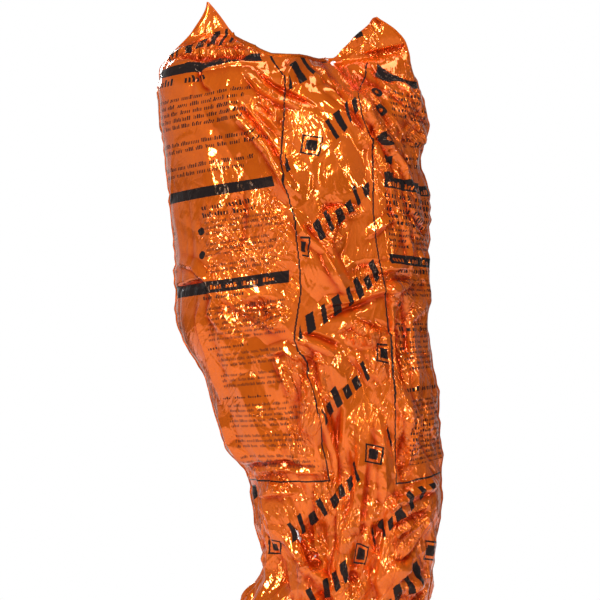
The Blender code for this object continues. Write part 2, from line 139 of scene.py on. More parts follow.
# Folds of the front: points across and up, how far each reaches to its sides, and how far it stands out.
FRONT_FOLDS = [
    (((-0.314, 1.581), (-0.262, 1.607), (-0.196, 1.601), (-0.131, 1.598), (-0.079, 1.594)), 0.011, 0.005),
    (((-0.283, 1.594), (-0.227, 1.588), (-0.166, 1.594), (-0.096, 1.583)), 0.009, -0.006),
    (((-0.240, 1.620), (-0.192, 1.611), (-0.144, 1.620), (-0.105, 1.607)), 0.009, 0.005),
    (((-0.209, 1.631), (-0.166, 1.616), (-0.122, 1.611)), 0.007, -0.004),
    (((-0.301, 1.557), (-0.257, 1.572), (-0.209, 1.559), (-0.157, 1.566), (-0.083, 1.572)), 0.011, 0.004),
    (((-0.222, 1.561), (-0.226, 1.538), (-0.216, 1.516), (-0.196, 1.503)), 0.009, -0.005),
    (((-0.127, 1.555), (-0.088, 1.507), (-0.044, 1.481), (0.004, 1.468)), 0.016, 0.008),
    (((-0.105, 1.559), (-0.061, 1.520), (-0.009, 1.494), (0.043, 1.464)), 0.011, -0.006),
    (((-0.103, 1.468), (-0.061, 1.425), (-0.035, 1.398)), 0.014, 0.007),
    (((-0.153, 1.464), (-0.114, 1.420), (-0.075, 1.372), (-0.040, 1.307), (-0.020, 1.270)), 0.016, 0.009),
    (((-0.135, 1.481), (-0.096, 1.429), (-0.057, 1.377), (-0.035, 1.333)), 0.011, -0.006),
    (((-0.079, 1.481), (-0.057, 1.455), (-0.048, 1.435)), 0.016, 0.009),
    (((0.035, 1.586), (0.039, 1.564), (0.054, 1.538)), 0.011, 0.006),
    (((-0.009, 1.581), (-0.027, 1.542), (-0.035, 1.498)), 0.016, 0.005),
    (((0.052, 1.516), (0.091, 1.485), (0.130, 1.453), (0.147, 1.425)), 0.014, 0.007),
    (((0.065, 1.533), (0.104, 1.481), (0.139, 1.429), (0.160, 1.394)), 0.011, -0.006),
    (((0.125, 1.507), (0.156, 1.451), (0.191, 1.394), (0.221, 1.342), (0.256, 1.281)), 0.011, 0.009),
    (((0.139, 1.464), (0.173, 1.398), (0.199, 1.351), (0.217, 1.307)), 0.014, -0.009),
    (((0.134, 1.490), (0.173, 1.446), (0.208, 1.394), (0.239, 1.355)), 0.009, 0.007),
    (((0.112, 1.581), (0.147, 1.568), (0.178, 1.542), (0.195, 1.516)), 0.014, 0.006),
    (((0.160, 1.581), (0.191, 1.555), (0.239, 1.542), (0.269, 1.520)), 0.011, -0.006),
    (((0.221, 1.481), (0.247, 1.446), (0.278, 1.420)), 0.011, 0.006),
    (((0.230, 1.420), (0.260, 1.390), (0.282, 1.377)), 0.011, -0.007),
    (((0.260, 1.529), (0.269, 1.481), (0.286, 1.446)), 0.011, 0.005),
    (((-0.022, 1.244), (0.004, 1.192), (0.052, 1.148), (0.078, 1.096), (0.108, 1.053)), 0.020, 0.010),
    (((0.008, 1.218), (0.043, 1.170), (0.073, 1.127)), 0.014, -0.006),
    (((0.049, 1.213), (0.078, 1.235), (0.134, 1.237)), 0.014, 0.007),
    (((0.065, 1.153), (0.078, 1.205), (0.089, 1.244)), 0.011, 0.006),
    (((0.047, 1.018), (0.065, 1.035), (0.121, 1.043), (0.165, 1.057), (0.247, 1.079)), 0.014, 0.009),
    (((0.052, 1.000), (0.104, 1.022), (0.160, 1.040)), 0.011, -0.006),
    (((0.004, 0.970), (0.039, 0.966), (0.091, 0.944)), 0.011, -0.008),
    (((-0.009, 0.955), (0.025, 0.946), (0.078, 0.922)), 0.014, 0.006),
    (((0.082, 0.974), (0.112, 0.992), (0.152, 0.966), (0.186, 0.966)), 0.014, 0.007),
    (((0.108, 0.926), (0.139, 0.892), (0.152, 0.861)), 0.014, 0.006),
    (((0.130, 1.096), (0.182, 1.111), (0.239, 1.118)), 0.014, 0.007),
    (((0.199, 1.053), (0.221, 1.066), (0.254, 1.083)), 0.011, 0.006),
    (((0.152, 1.183), (0.173, 1.200), (0.208, 1.227)), 0.014, 0.007),
    (((-0.196, 1.140), (-0.166, 1.155), (-0.135, 1.166)), 0.007, 0.003),
    (
        (
            (-0.275, 1.127), (-0.240, 1.118), (-0.209, 1.087), (-0.192, 1.044), (-0.198, 1.013),
            (-0.179, 0.979), (-0.153, 0.966),
        ),
        0.016,
        0.008,
    ),
    (
        (
            (-0.218, 1.044), (-0.226, 1.005), (-0.220, 0.966), (-0.205, 0.922), (-0.190, 0.870),
            (-0.175, 0.816),
        ),
        0.016,
        0.008,
    ),
    (((-0.175, 1.053), (-0.140, 1.027), (-0.096, 1.000), (-0.044, 0.983)), 0.014, 0.005),
    (((-0.114, 1.027), (-0.079, 0.992), (-0.053, 0.970)), 0.014, 0.006),
    (((-0.070, 0.922), (-0.035, 0.935), (0.004, 0.909)), 0.014, 0.008),
    (((-0.055, 0.913), (-0.035, 0.870), (-0.018, 0.816)), 0.014, 0.007),
    (((-0.283, 1.070), (-0.244, 1.083), (-0.209, 1.085)), 0.011, -0.005),
    (((-0.185, 0.815), (-0.170, 0.768), (-0.157, 0.724), (-0.131, 0.685), (-0.114, 0.663)), 0.016, 0.008),
    (((-0.122, 0.672), (-0.079, 0.675), (-0.027, 0.683), (0.025, 0.674)), 0.011, -0.008),
    (((-0.105, 0.655), (-0.061, 0.663), (-0.009, 0.665), (0.052, 0.659)), 0.011, 0.006),
    (((-0.088, 0.607), (-0.044, 0.611), (-0.001, 0.616)), 0.009, 0.006),
    (((-0.083, 0.628), (-0.061, 0.555), (-0.053, 0.502), (-0.027, 0.450), (-0.009, 0.381)), 0.014, 0.012),
    (((-0.105, 0.642), (-0.092, 0.589), (-0.070, 0.511), (-0.053, 0.446)), 0.014, -0.012),
    (((-0.040, 0.520), (-0.001, 0.468), (0.052, 0.411), (0.086, 0.372)), 0.018, 0.009),
    (((-0.022, 0.546), (0.017, 0.485), (0.052, 0.450)), 0.014, -0.007),
    (((0.039, 0.644), (0.043, 0.589), (0.034, 0.537), (0.039, 0.459)), 0.016, 0.008),
    (((0.034, 0.931), (0.043, 0.887), (0.054, 0.835), (0.078, 0.816)), 0.016, 0.007),
    (((0.043, 0.815), (0.052, 0.763), (0.078, 0.702), (0.089, 0.650)), 0.016, 0.009),
    (((0.089, 0.815), (0.084, 0.729), (0.091, 0.672), (0.095, 0.633)), 0.016, -0.010),
    (((0.132, 0.763), (0.132, 0.698), (0.121, 0.598), (0.095, 0.485), (0.078, 0.361)), 0.020, 0.007),
    (((0.152, 0.707), (0.156, 0.633), (0.147, 0.546), (0.130, 0.468), (0.112, 0.361)), 0.020, -0.006),
    (((0.095, 0.633), (0.091, 0.572), (0.089, 0.511), (0.069, 0.424)), 0.016, 0.010),
    (((0.173, 0.789), (0.178, 0.720), (0.182, 0.642), (0.189, 0.572)), 0.020, 0.008),
    (((0.186, 0.572), (0.173, 0.485), (0.160, 0.424), (0.178, 0.361)), 0.018, -0.006),
    (((0.189, 0.563), (0.221, 0.594), (0.269, 0.615), (0.312, 0.631)), 0.018, 0.010),
    (((0.199, 0.537), (0.239, 0.555), (0.286, 0.572)), 0.018, -0.009),
    (((0.204, 0.511), (0.239, 0.533), (0.260, 0.559)), 0.014, 0.007),
    (((0.221, 0.459), (0.252, 0.494), (0.278, 0.537), (0.286, 0.572)), 0.018, 0.009),
    (((0.239, 0.389), (0.265, 0.407), (0.299, 0.424)), 0.014, 0.008),
    (((0.217, 0.411), (0.243, 0.433), (0.260, 0.468)), 0.016, -0.007),
    (((0.197, 1.270), (0.221, 1.218), (0.239, 1.166), (0.245, 1.105)), 0.016, 0.007),
    (((0.239, 1.244), (0.269, 1.213), (0.291, 1.192)), 0.014, -0.008),
    (((0.265, 1.166), (0.278, 1.087), (0.286, 1.009)), 0.016, 0.006),
    (((0.245, 1.027), (0.249, 0.966), (0.254, 0.896), (0.260, 0.816)), 0.016, 0.007),
    (((0.221, 0.992), (0.226, 0.922), (0.234, 0.835)), 0.014, -0.006),
    (((0.256, 0.815), (0.252, 0.750), (0.243, 0.685), (0.239, 0.642)), 0.016, 0.007),
    (((0.226, 0.815), (0.230, 0.750), (0.226, 0.685)), 0.014, -0.006),
    (((0.092, 0.361), (0.083, 0.225), (0.069, 0.088), (0.051, 0.009)), 0.030, 0.015),
    (((0.165, 0.384), (0.169, 0.247), (0.178, 0.111), (0.183, 0.009)), 0.027, -0.013),
    (((0.240, 0.361), (0.237, 0.225), (0.247, 0.088), (0.251, 0.009)), 0.032, 0.014),
    (((0.001, 0.384), (-0.008, 0.247), (-0.035, 0.111), (-0.062, 0.009)), 0.030, -0.012),
    (((-0.056, 0.361), (-0.085, 0.225), (-0.122, 0.100), (-0.144, 0.009)), 0.027, 0.012),
    (((-0.112, 0.315), (-0.153, 0.202), (-0.194, 0.100), (-0.217, 0.020)), 0.023, -0.008),
]
# Patches of tighter creasing: middle, half sizes, strength, and how the film leans there across and up.
CRINKLED_PATCHES = [
    (0.262, 1.475, 0.032, 0.136, 1.50, 0.10, -0.05), (0.194, 1.622, 0.055, 0.036, 1.20, 0.00, 0.00),
    (-0.192, 1.600, 0.114, 0.032, 1.30, 0.00, 0.05), (0.067, 1.206, 0.032, 0.055, 1.60, -0.02, 0.34),
    (0.092, 1.240, 0.045, 0.018, 1.20, 0.00, 0.30), (-0.062, 1.452, 0.018, 0.027, 0.80, 0.05, 0.36),
    (0.042, 1.561, 0.020, 0.032, 0.80, 0.05, 0.28), (0.151, 1.093, 0.045, 0.032, 1.50, 0.00, 0.34),
    (0.224, 1.065, 0.036, 0.032, 1.50, 0.05, 0.32), (0.142, 0.970, 0.055, 0.027, 1.40, 0.00, 0.33),
    (0.174, 0.915, 0.020, 0.041, 1.40, 0.02, 0.30), (-0.085, 1.011, 0.059, 0.036, 1.40, 0.00, 0.28),
    (-0.062, 1.179, 0.041, 0.100, 1.10, 0.03, 0.16), (-0.144, 1.134, 0.068, 0.091, 0.90, 0.03, 0.10),
    (-0.199, 1.197, 0.036, 0.068, 0.80, -0.05, 0.06), (0.028, 0.838, 0.036, 0.091, 1.50, 0.05, 0.30),
    (0.001, 0.747, 0.032, 0.077, 1.30, 0.06, 0.22), (-0.017, 0.872, 0.027, 0.059, 1.20, 0.20, -0.20),
    (-0.060, 0.638, 0.034, 0.025, 1.40, 0.00, 0.34), (0.058, 0.611, 0.032, 0.059, 1.40, -0.05, 0.28),
    (0.028, 0.493, 0.036, 0.059, 1.50, 0.00, 0.32), (0.103, 0.588, 0.018, 0.114, 0.80, -0.15, 0.10),
    (0.119, 0.406, 0.032, 0.032, 1.40, 0.00, 0.30), (0.256, 0.543, 0.055, 0.055, 1.00, 0.10, -0.28),
    (0.217, 0.595, 0.027, 0.023, 1.20, 0.00, 0.30), (0.228, 0.509, 0.032, 0.027, 1.20, 0.03, 0.30),
    (0.256, 0.388, 0.045, 0.032, 1.40, 0.00, -0.20), (0.237, 0.725, 0.023, 0.091, 1.20, 0.08, -0.24),
    (0.253, 1.015, 0.018, 0.032, 1.00, 0.08, -0.28), (0.222, 0.906, 0.018, 0.091, 1.00, 0.06, 0.12),
    (-0.140, 1.225, 0.023, 0.045, 1.30, 0.00, 0.20), (0.178, 1.384, 0.027, 0.114, 1.10, 0.10, 0.10),
    (0.149, 1.509, 0.041, 0.055, 0.90, 0.05, 0.14), (-0.101, 0.656, 0.068, 0.020, 1.20, 0.00, 0.10),
]
# The two upright rules of the print: height, then distance across.
LEFT_RULE = [
    (0.009, 0.047), (0.452, 0.081), (0.645, 0.067), (0.725, 0.049), (0.815, 0.033), (0.861, 0.022),
    (0.913, 0.008), (0.938, -0.006), (0.961, -0.012), (1.009, -0.006), (1.061, 0.001), (1.111, -0.001),
    (1.161, -0.006), (1.213, -0.012), (1.272, -0.026), (1.304, -0.036), (1.347, -0.042), (1.395, -0.040),
    (1.447, -0.035), (1.486, -0.034), (1.529, -0.033), (1.554, -0.047), (1.586, -0.064), (1.679, -0.085),
]
RIGHT_RULE = [
    (0.009, 0.217), (0.452, 0.210), (0.634, 0.212), (0.725, 0.211), (0.815, 0.210), (0.884, 0.206),
    (0.956, 0.199), (1.009, 0.192), (1.065, 0.186), (1.134, 0.174), (1.193, 0.165), (1.270, 0.160),
    (1.338, 0.160), (1.390, 0.160), (1.418, 0.149), (1.447, 0.137), (1.479, 0.131), (1.506, 0.128),
    (1.543, 0.136), (1.572, 0.149), (1.679, 0.165),
]

# Sharp creases that fan out from the pinched right end of the mouth, in the same form as the folds above.
RIGHT_FAN = [
    (((0.095, 1.495), (0.128, 1.448), (0.157, 1.397), (0.176, 1.340)), 0.008, 0.006),
    (((0.109, 1.500), (0.162, 1.424), (0.216, 1.354), (0.250, 1.290), (0.272, 1.240)), 0.008, 0.007),
    (((0.130, 1.505), (0.180, 1.440), (0.227, 1.374), (0.255, 1.320)), 0.008, -0.006),
    (((0.139, 1.525), (0.200, 1.452), (0.264, 1.374)), 0.008, 0.006),
    (((0.160, 1.550), (0.222, 1.490), (0.276, 1.415)), 0.008, -0.006),
    (((0.184, 1.570), (0.236, 1.520), (0.280, 1.452)), 0.008, 0.006),
    (((0.020, 1.580), (0.052, 1.540), (0.085, 1.510), (0.112, 1.478)), 0.010, 0.006),
    (((0.058, 1.585), (0.085, 1.552), (0.118, 1.520)), 0.008, 0.006),
    (((0.190, 1.330), (0.205, 1.260), (0.212, 1.190)), 0.010, 0.006),
    (((0.228, 1.300), (0.243, 1.230), (0.252, 1.160)), 0.008, -0.006),
    (((0.196, 1.090), (0.205, 0.990), (0.212, 0.880)), 0.012, 0.007),
    (((0.226, 1.080), (0.238, 0.990), (0.240, 0.900)), 0.009, -0.006),
]

# How much the patches are strengthened, the creasing outside them, how much the drawn folds are heightened,
# the steepest side that one may have, and how wide its narrow side is against the other.
PATCH_GAIN, CALM_STRENGTH = 1.6, 0.24
FOLD_GAIN, FOLD_STEEPEST, NARROW_SIDE = 1.8, 0.62, 0.42
# The print: where its two upright rules run across it, half a rule's width, and the heights of its bands.
P_LEFT_RULE, P_RIGHT_RULE, RULE_HALF = -0.06, 0.15, 0.0018
PRINT_LOW, PRINT_SPAN = 0.60, 1.15
# How steeply the print falls left of the left rule and climbs right of the right one: height, then slope.
LEFT_LEAN = [(0.30, 0.0), (0.64, 0.03), (0.83, 0.09), (1.05, 0.14), (1.60, 0.14), (1.72, 0.10)]
RIGHT_LEAN = [
    (0.30, -0.10), (0.64, -0.165), (0.84, -0.10), (0.98, 0.0), (1.05, 0.05), (1.13, 0.10), (1.29, 0.15),
    (1.35, 0.02), (1.40, 0.15), (1.50, 0.40), (1.58, 0.60), (1.72, 0.60),
]


def between(points, at):
    """Reads a smooth curve through the points, which are sorted by their first number."""
    if at <= points[0][0]:
        return points[0][1]
    for index in range(len(points) - 1):
        if at <= points[index + 1][0]:
            break
    else:
        return points[-1][1]

    def slope(i):
        """The steepness at a point, flat where the curve turns so that it never overshoots."""
        if i in (0, len(points) - 1):
            return 0.0 if i else (points[1][1] - points[0][1]) / (points[1][0] - points[0][0])
        before = (points[i][1] - points[i - 1][1]) / (points[i][0] - points[i - 1][0])
        after = (points[i + 1][1] - points[i][1]) / (points[i + 1][0] - points[i][0])
        return 0.0 if before * after <= 0 else 2 * before * after / (before + after)

    (x0, y0), (x1, y1) = points[index], points[index + 1]
    width = x1 - x0
    t = (at - x0) / width
    rise = y0 * (1 + 2 * t) * (1 - t) ** 2 + y1 * t * t * (3 - 2 * t)
    return rise + width * (slope(index) * t * (1 - t) ** 2 - slope(index + 1) * t * t * (1 - t))


def reader(points):
    """A quick way to read a smooth curve at many places at once."""
    points = sorted(points)
    at = np.linspace(points[0][0], points[-1][0], 1200)
    values = np.array([between(points, value) for value in at])
    return lambda where: np.interp(where, at, values)


left_edge, right_edge = reader(LEFT_EDGE), reader(RIGHT_EDGE)
half_depth_at, mouth_at, pinch_at = reader(HALF_DEPTH), reader(MOUTH_EDGE), reader(PINCH_HEIGHT)
left_rule, right_rule = reader(LEFT_RULE), reader(RIGHT_RULE)
left_lean, right_lean = reader(LEFT_LEAN), reader(RIGHT_LEAN)


def smooth_step(value, low, high):
    """0 below low, 1 above high, and an even turn between them."""
    t = np.clip((value - low) / (high - low), 0, 1)
    return t * t * (3 - 2 * t)


def across_share(turn):
    """The share of the outline's width at a share of the way across a panel."""
    return (1 - np.cos(np.pi * turn)) / 2


def loft(face, turn, height):
    """Points of a panel's smooth shape. turn runs from 0 at the left edge to 1 at the right one."""
    share = across_share(turn)
    below = (pinch_at(share) - height) / OPENS_OVER
    opened = 1 - (1 - np.clip(below, 0, 1)) ** 2
    bulge = np.clip(np.sin(np.pi * turn), 0, 1) ** ROUNDNESS
    depth = 0.0002 + (PINCHED + half_depth_at(height) * opened) * bulge
    across = left_edge(height) + (right_edge(height) - left_edge(height)) * share
    return np.stack([across, face * depth, height + 0 * across], axis=-1)


def main_fold_heights(face, turn, x, z):
    """How far a panel stands out in its main folds, which die out at the seals, the mouth and the floor."""

    def grown(value, ends):
        return np.clip((value - ends[0]) / (ends[1] - ends[0]), 0, 1)

    hold = grown(np.sin(np.pi * turn), FOLDS_FROM_SEAL) * grown(z, FOLDS_ABOVE_FLOOR)
    hold = hold * grown(mouth_at(across_share(turn)) - z, FOLDS_BELOW_MOUTH)
    stands = np.zeros_like(x)
    for x0, z0, x1, z1, half_width, lift in MAIN_FRONT_FOLDS if face == FRONT else MAIN_BACK_FOLDS:
        length = (x1 - x0) ** 2 + (z1 - z0) ** 2
        t = np.clip(((x - x0) * (x1 - x0) + (z - z0) * (z1 - z0)) / length, 0, 1)
        away = np.hypot(x - x0 - t * (x1 - x0), z - z0 - t * (z1 - z0))
        stands = np.maximum(stands, lift * grown(away, (half_width, 0.0)))
    return hold * stands


def panel_layout(face, columns, wall_rows, base_rows):
    """Smooth points of a whole panel, from foot seal to mouth edge, with their places on the film."""
    across = np.linspace(0, 1, columns + 1)
    turn = across if face == FRONT else 1 - across
    out = np.linspace(0, 1, base_rows, endpoint=False)[:, None]
    rim = loft(face, turn, np.zeros_like(turn))[None, :, :]
    shrink = FOOT_SEAM_SHARE + (1 - FOOT_SEAM_SHARE) * out
    base = [rim[..., 0] * shrink, rim[..., 1] * out, FILM_BOTTOM + 0 * rim[..., 0] * out]
    top = mouth_at(across_share(turn))[None, :]
    climb = np.linspace(0, 1, wall_rows + 1)[:, None]
    low = VIEW_STARTS / BAG_HEIGHT
    in_view = low + (climb - ROWS_BELOW_VIEW) / (1 - ROWS_BELOW_VIEW) * (1 - low)
    climb = np.where(climb < ROWS_BELOW_VIEW, climb / ROWS_BELOW_VIEW * low, in_view)
    height = FILM_BOTTOM + (top - FILM_BOTTOM) * climb
    wall = loft(face, np.broadcast_to(turn[None, :], height.shape), height)
    points = np.concatenate([np.stack(base, axis=-1), wall], axis=0)
    up = np.concatenate([FOOT_LENGTH * out * np.ones_like(top), FOOT_LENGTH + height], axis=0)
    step = np.linalg.norm(np.diff(points, axis=1), axis=2)
    along = np.concatenate([np.zeros((points.shape[0], 1)), np.cumsum(step, axis=1)], axis=1)
    along -= along[:, -1:] / 2
    return points, along, up, np.broadcast_to(turn[None, :], up.shape)


def outward(points):
    """Unit normals of a sheet of points, pointing out of the bag."""
    across = np.gradient(points, axis=1)
    upwards = np.gradient(points, axis=0)
    normal = np.cross(across, upwards)
    return normal / np.maximum(np.linalg.norm(normal, axis=2, keepdims=True), 1e-9)


class CreasedSheet:
    """A map of film height over the flat film, kept on an even raster."""

    def __init__(self, seed, width=1.10, height=2.05, cell=0.00125):
        self.dice = np.random.default_rng(seed)
        self.cell, self.width, self.tall = cell, width, height
        self.columns, self.rows = int(width / cell) + 2, int(height / cell) + 2
        self.x = (np.arange(self.columns) * cell - width / 2)[None, :]
        self.y = (np.arange(self.rows) * cell)[:, None]
        self.value = np.zeros((self.rows, self.columns))

    def add_facets(self, spacing, height, stretch=1.0):
        """Flat three-cornered facets that meet in sharp creases, drawn out up the bag by stretch."""
        tall = spacing * stretch
        xs = np.arange(-self.width / 2 - spacing, self.width / 2 + 2 * spacing, spacing)
        ys = np.arange(-tall, self.tall + 2 * tall, tall)
        gx, gy = np.meshgrid(xs, ys)
        gx = gx + (np.arange(len(ys)) % 2)[:, None] * spacing / 2
        gx = gx + self.dice.uniform(-0.42, 0.42, gx.shape) * spacing
        gy = gy + self.dice.uniform(-0.42, 0.42, gy.shape) * tall
        corners = np.column_stack([gx.ravel(), gy.ravel()])
        lift = height * np.clip(self.dice.normal(0, 1, len(corners)) ** 3 / 2, -2.2, 2.2)
        layer = np.zeros_like(self.value)
        result = delaunay_2d_cdt([Vector(c) for c in corners], [], [], 0, 1e-7)
        places, faces, came_from = result[0], result[2], result[3]
        lift = np.array([lift[source[0]] for source in came_from])
        places = np.array([tuple(p) for p in places])
        for a, b, c in faces:
            pa, pb, pc = places[a], places[b], places[c]
            low = np.minimum(np.minimum(pa, pb), pc)
            high = np.maximum(np.maximum(pa, pb), pc)
            c0 = max(0, int(np.ceil((low[0] + self.width / 2) / self.cell)))
            c1 = min(self.columns - 1, int((high[0] + self.width / 2) / self.cell))
            r0 = max(0, int(np.ceil(low[1] / self.cell)))
            r1 = min(self.rows - 1, int(high[1] / self.cell))
            if c1 < c0 or r1 < r0:
                continue
            x, y = self.x[:, c0 : c1 + 1], self.y[r0 : r1 + 1]
            span = (pb[1] - pc[1]) * (pa[0] - pc[0]) + (pc[0] - pb[0]) * (pa[1] - pc[1])
            if abs(span) < 1e-12:
                continue
            wa = ((pb[1] - pc[1]) * (x - pc[0]) + (pc[0] - pb[0]) * (y - pc[1])) / span
            wb = ((pc[1] - pa[1]) * (x - pc[0]) + (pa[0] - pc[0]) * (y - pc[1])) / span
            wc = 1 - wa - wb
            inside = (wa >= -1e-6) & (wb >= -1e-6) & (wc >= -1e-6)
            patch = layer[r0 : r1 + 1, c0 : c1 + 1]
            patch[inside] = (wa * lift[a] + wb * lift[b] + wc * lift[c])[inside]
        self.value += layer

    def add_swell(self, spacing, height, stretch=1.0):
        """Soft rolling heights with no creases."""
        down, over = int(self.tall / (spacing * stretch)) + 4, int(self.width / spacing) + 4
        knots = self.dice.normal(0, height, (down, over))
        gx = (self.x[0] + self.width / 2) / spacing + 1
        gy = self.y[:, 0] / (spacing * stretch) + 1

        def weights(at):
            """Four even spline weights around each place."""
            whole = np.floor(at).astype(int)
            f = at - whole
            middle = [3 * f**3 - 6 * f**2 + 4, -3 * f**3 + 3 * f**2 + 3 * f + 1]
            return whole, np.stack([(1 - f) ** 3, *middle, f**3]) / 6

        cx, wx = weights(gx)
        cy, wy = weights(gy)
        rows = sum(wy[k][:, None] * knots[np.clip(cy + k - 1, 0, down - 1)] for k in range(4))
        self.value += 1.6 * sum(wx[k][None, :] * rows[:, np.clip(cx + k - 1, 0, over - 1)] for k in range(4))

    def add_creases(self, count, length, width, height, upright=0.0, low=0.0, high=2.05, least=0.0):
        """Short straight creases, each a sharp ridge or valley that fades at its ends."""
        for _ in range(count):
            x = self.dice.uniform(-self.width / 2, self.width / 2)
            y = self.dice.uniform(low, high)
            angle = self.dice.uniform(0, math.pi)
            if self.dice.random() < upright:
                angle = math.pi / 2 + self.dice.normal(0, 0.25)
            half = self.dice.uniform(*length) / 2
            reach = self.dice.uniform(*width)
            lift = height * np.clip(self.dice.normal(0, 1), -2.5, 2.5)
            lift += math.copysign(least, lift)
            c0 = max(0, int((x - half - reach + self.width / 2) / self.cell))
            c1 = min(self.columns - 1, int((x + half + reach + self.width / 2) / self.cell))
            r0 = max(0, int((y - half - reach) / self.cell))
            r1 = min(self.rows - 1, int((y + half + reach) / self.cell))
            if c1 <= c0 or r1 <= r0:
                continue
            dx, dy = self.x[:, c0 : c1 + 1] - x, self.y[r0 : r1 + 1] - y
            along = dx * math.cos(angle) + dy * math.sin(angle)
            aside = np.abs(-dx * math.sin(angle) + dy * math.cos(angle))
            shape = np.clip(1 - aside / reach, 0, 1) * np.clip(1.2 - 1.2 * np.abs(along) / half, 0, 1)
            self.value[r0 : r1 + 1, c0 : c1 + 1] += lift * shape

    def read(self, x, y):
        """Heights at places on the film."""
        cx = np.clip((x + self.width / 2) / self.cell, 0, self.columns - 1.001)
        cy = np.clip(y / self.cell, 0, self.rows - 1.001)
        c, r = cx.astype(int), cy.astype(int)
        fx, fy = cx - c, cy - r
        v = self.value
        low = v[r, c] * (1 - fx) + v[r, c + 1] * fx
        high = v[r + 1, c] * (1 - fx) + v[r + 1, c + 1] * fx
        return low * (1 - fy) + high * fy


def fold_heights(x, z, folds):
    """The height that a list of drawn folds gives at places seen from the front."""
    total = np.zeros_like(x)
    for line, reach, lift in folds:
        line, reach = np.array(line), 1.35 * reach
        lift = float(np.clip(FOLD_GAIN * lift, -FOLD_STEEPEST * reach, FOLD_STEEPEST * reach))
        near = (x > line[:, 0].min() - reach) & (x < line[:, 0].max() + reach)
        near &= (z > line[:, 1].min() - reach) & (z < line[:, 1].max() + reach)
        if not near.any():
            continue
        px, pz = x[near], z[near]
        lengths = np.hypot(*np.diff(line, axis=0).T)
        before = np.concatenate([[0], np.cumsum(lengths)])
        best = np.full(px.shape, 1e9)
        where, side = np.zeros_like(px), np.zeros_like(px)
        for index in range(len(line) - 1):
            a, run = line[index], line[index + 1] - line[index]
            dx, dz = px - a[0], pz - a[1]
            t = np.clip((dx * run[0] + dz * run[1]) / max(lengths[index] ** 2, 1e-12), 0, 1)
            away = np.hypot(dx - t * run[0], dz - t * run[1])
            closer = away < best
            best = np.where(closer, away, best)
            where = np.where(closer, before[index] + t * lengths[index], where)
            side = np.where(closer, run[0] * dz - run[1] * dx, side)
        share = where / before[-1]
        wide = reach * np.where(side * lift > 0, 1.0, NARROW_SIDE)
        fade = np.clip(4.0 * np.minimum(share, 1 - share) + 0.15, 0, 1)
        total[near] += lift * np.clip(1 - best / wide, 0, 1) ** 0.95 * fade
    return total


def patch_heights(x, z):
    """How strongly the film is creased at places seen from the front, and the lean of the patches there."""
    strength = np.full_like(x, CALM_STRENGTH)
    lean = np.zeros_like(x)
    for px, pz, rx, rz, gain, across, up in CRINKLED_PATCHES:
        away = np.hypot((x - px) / rx, (z - pz) / rz)
        weight = 1 - smooth_step(away, 0.55, 1.35)
        strength = np.maximum(strength, PATCH_GAIN * gain * weight)
        lean += weight * (-across * (x - px) - up * (z - pz))
    return strength, lean


def random_folds(seed, count, low, high):
    """Long upright folds for the side that the camera doesn't see first."""
    dice = np.random.default_rng(seed)
    folds = []
    for _ in range(count):
        x, z = dice.uniform(-0.26, 0.26), dice.uniform(low, high)
        length, lean = dice.uniform(0.12, 0.50), dice.normal(0, 0.35)
        steps = np.linspace(0, 1, 5)
        bend = dice.normal(0, 0.012, 5)
        line = [(x + lean * length * s + b, z + length * s) for s, b in zip(steps, bend)]
        folds.append((line, dice.uniform(0.014, 0.032), dice.choice([-1, 1]) * dice.uniform(0.006, 0.013)))
    return folds


SEAM_DICE = np.random.default_rng(41)
SEAM_HEIGHTS = np.linspace(-0.2, 1.8, 140)
SEAM_WANDER = {}
for seam in ("left", "right"):
    outwards, forwards = SEAM_DICE.normal(0, 0.0017, 140), SEAM_DICE.normal(0, 0.012, 140)
    SEAM_WANDER[seam] = (outwards, np.convolve(forwards, np.ones(4) / 4, "same"))


def seam_shift(side, z):
    """How far a side seal wanders out and forward, fading out at the foot and where the mouth is pinched."""
    out, forward = SEAM_WANDER[side]
    keep = smooth_step(z, 0.02, 0.10) * (1 - smooth_step(z, 1.56, 1.62))
    wander = np.zeros(np.shape(z) + (3,))
    wander[..., 0] = np.interp(z, SEAM_HEIGHTS, out) * keep
    wander[..., 1] = np.interp(z, SEAM_HEIGHTS, forward) * keep
    return wander


def above_slit(x, z):
    """How far a place lies above the slit under the right corner's flap."""
    return z - (1.6060 + 0.24 * (x - 0.155))


def near_spot(x, z, px, pz, rx, rz, core=1.5):
    """1 around a spot, fading to 0 further out."""
    return np.clip(core - np.hypot((x - px) / rx, (z - pz) / rz), 0, 1)


def ear_heights(x, z):
    """The fullness of the left cone and the overhanging flap of the right corner, in front."""
    up_left = (x - LEFT_CREASE.x) * LEFT_CREASE_UP.x + (z - LEFT_CREASE.z) * LEFT_CREASE_UP.z
    cone = (x < LEFT_PEAK_ENDS) * smooth_step(up_left, -0.035, 0.006) * (
        1 - smooth_step(up_left, 0.0, 0.068)
    )
    middle = (x + 0.208) / (0.034 - 0.42 * np.clip(up_left, 0, 0.07))
    lift = 0.010 * cone * np.clip(1 - middle**2, 0, 1)
    slit = above_slit(x, z)
    flap = smooth_step(x, 0.128, 0.160) * smooth_step(slit, -0.003, 0.001) * (
        1 - smooth_step(slit, 0.012, 0.062)
    )
    lift += 0.012 * flap
    under = smooth_step(x, 0.150, 0.175) * (1 - smooth_step(np.abs(slit + 0.009), 0.002, 0.010))
    lift -= 0.004 * under
    return lift


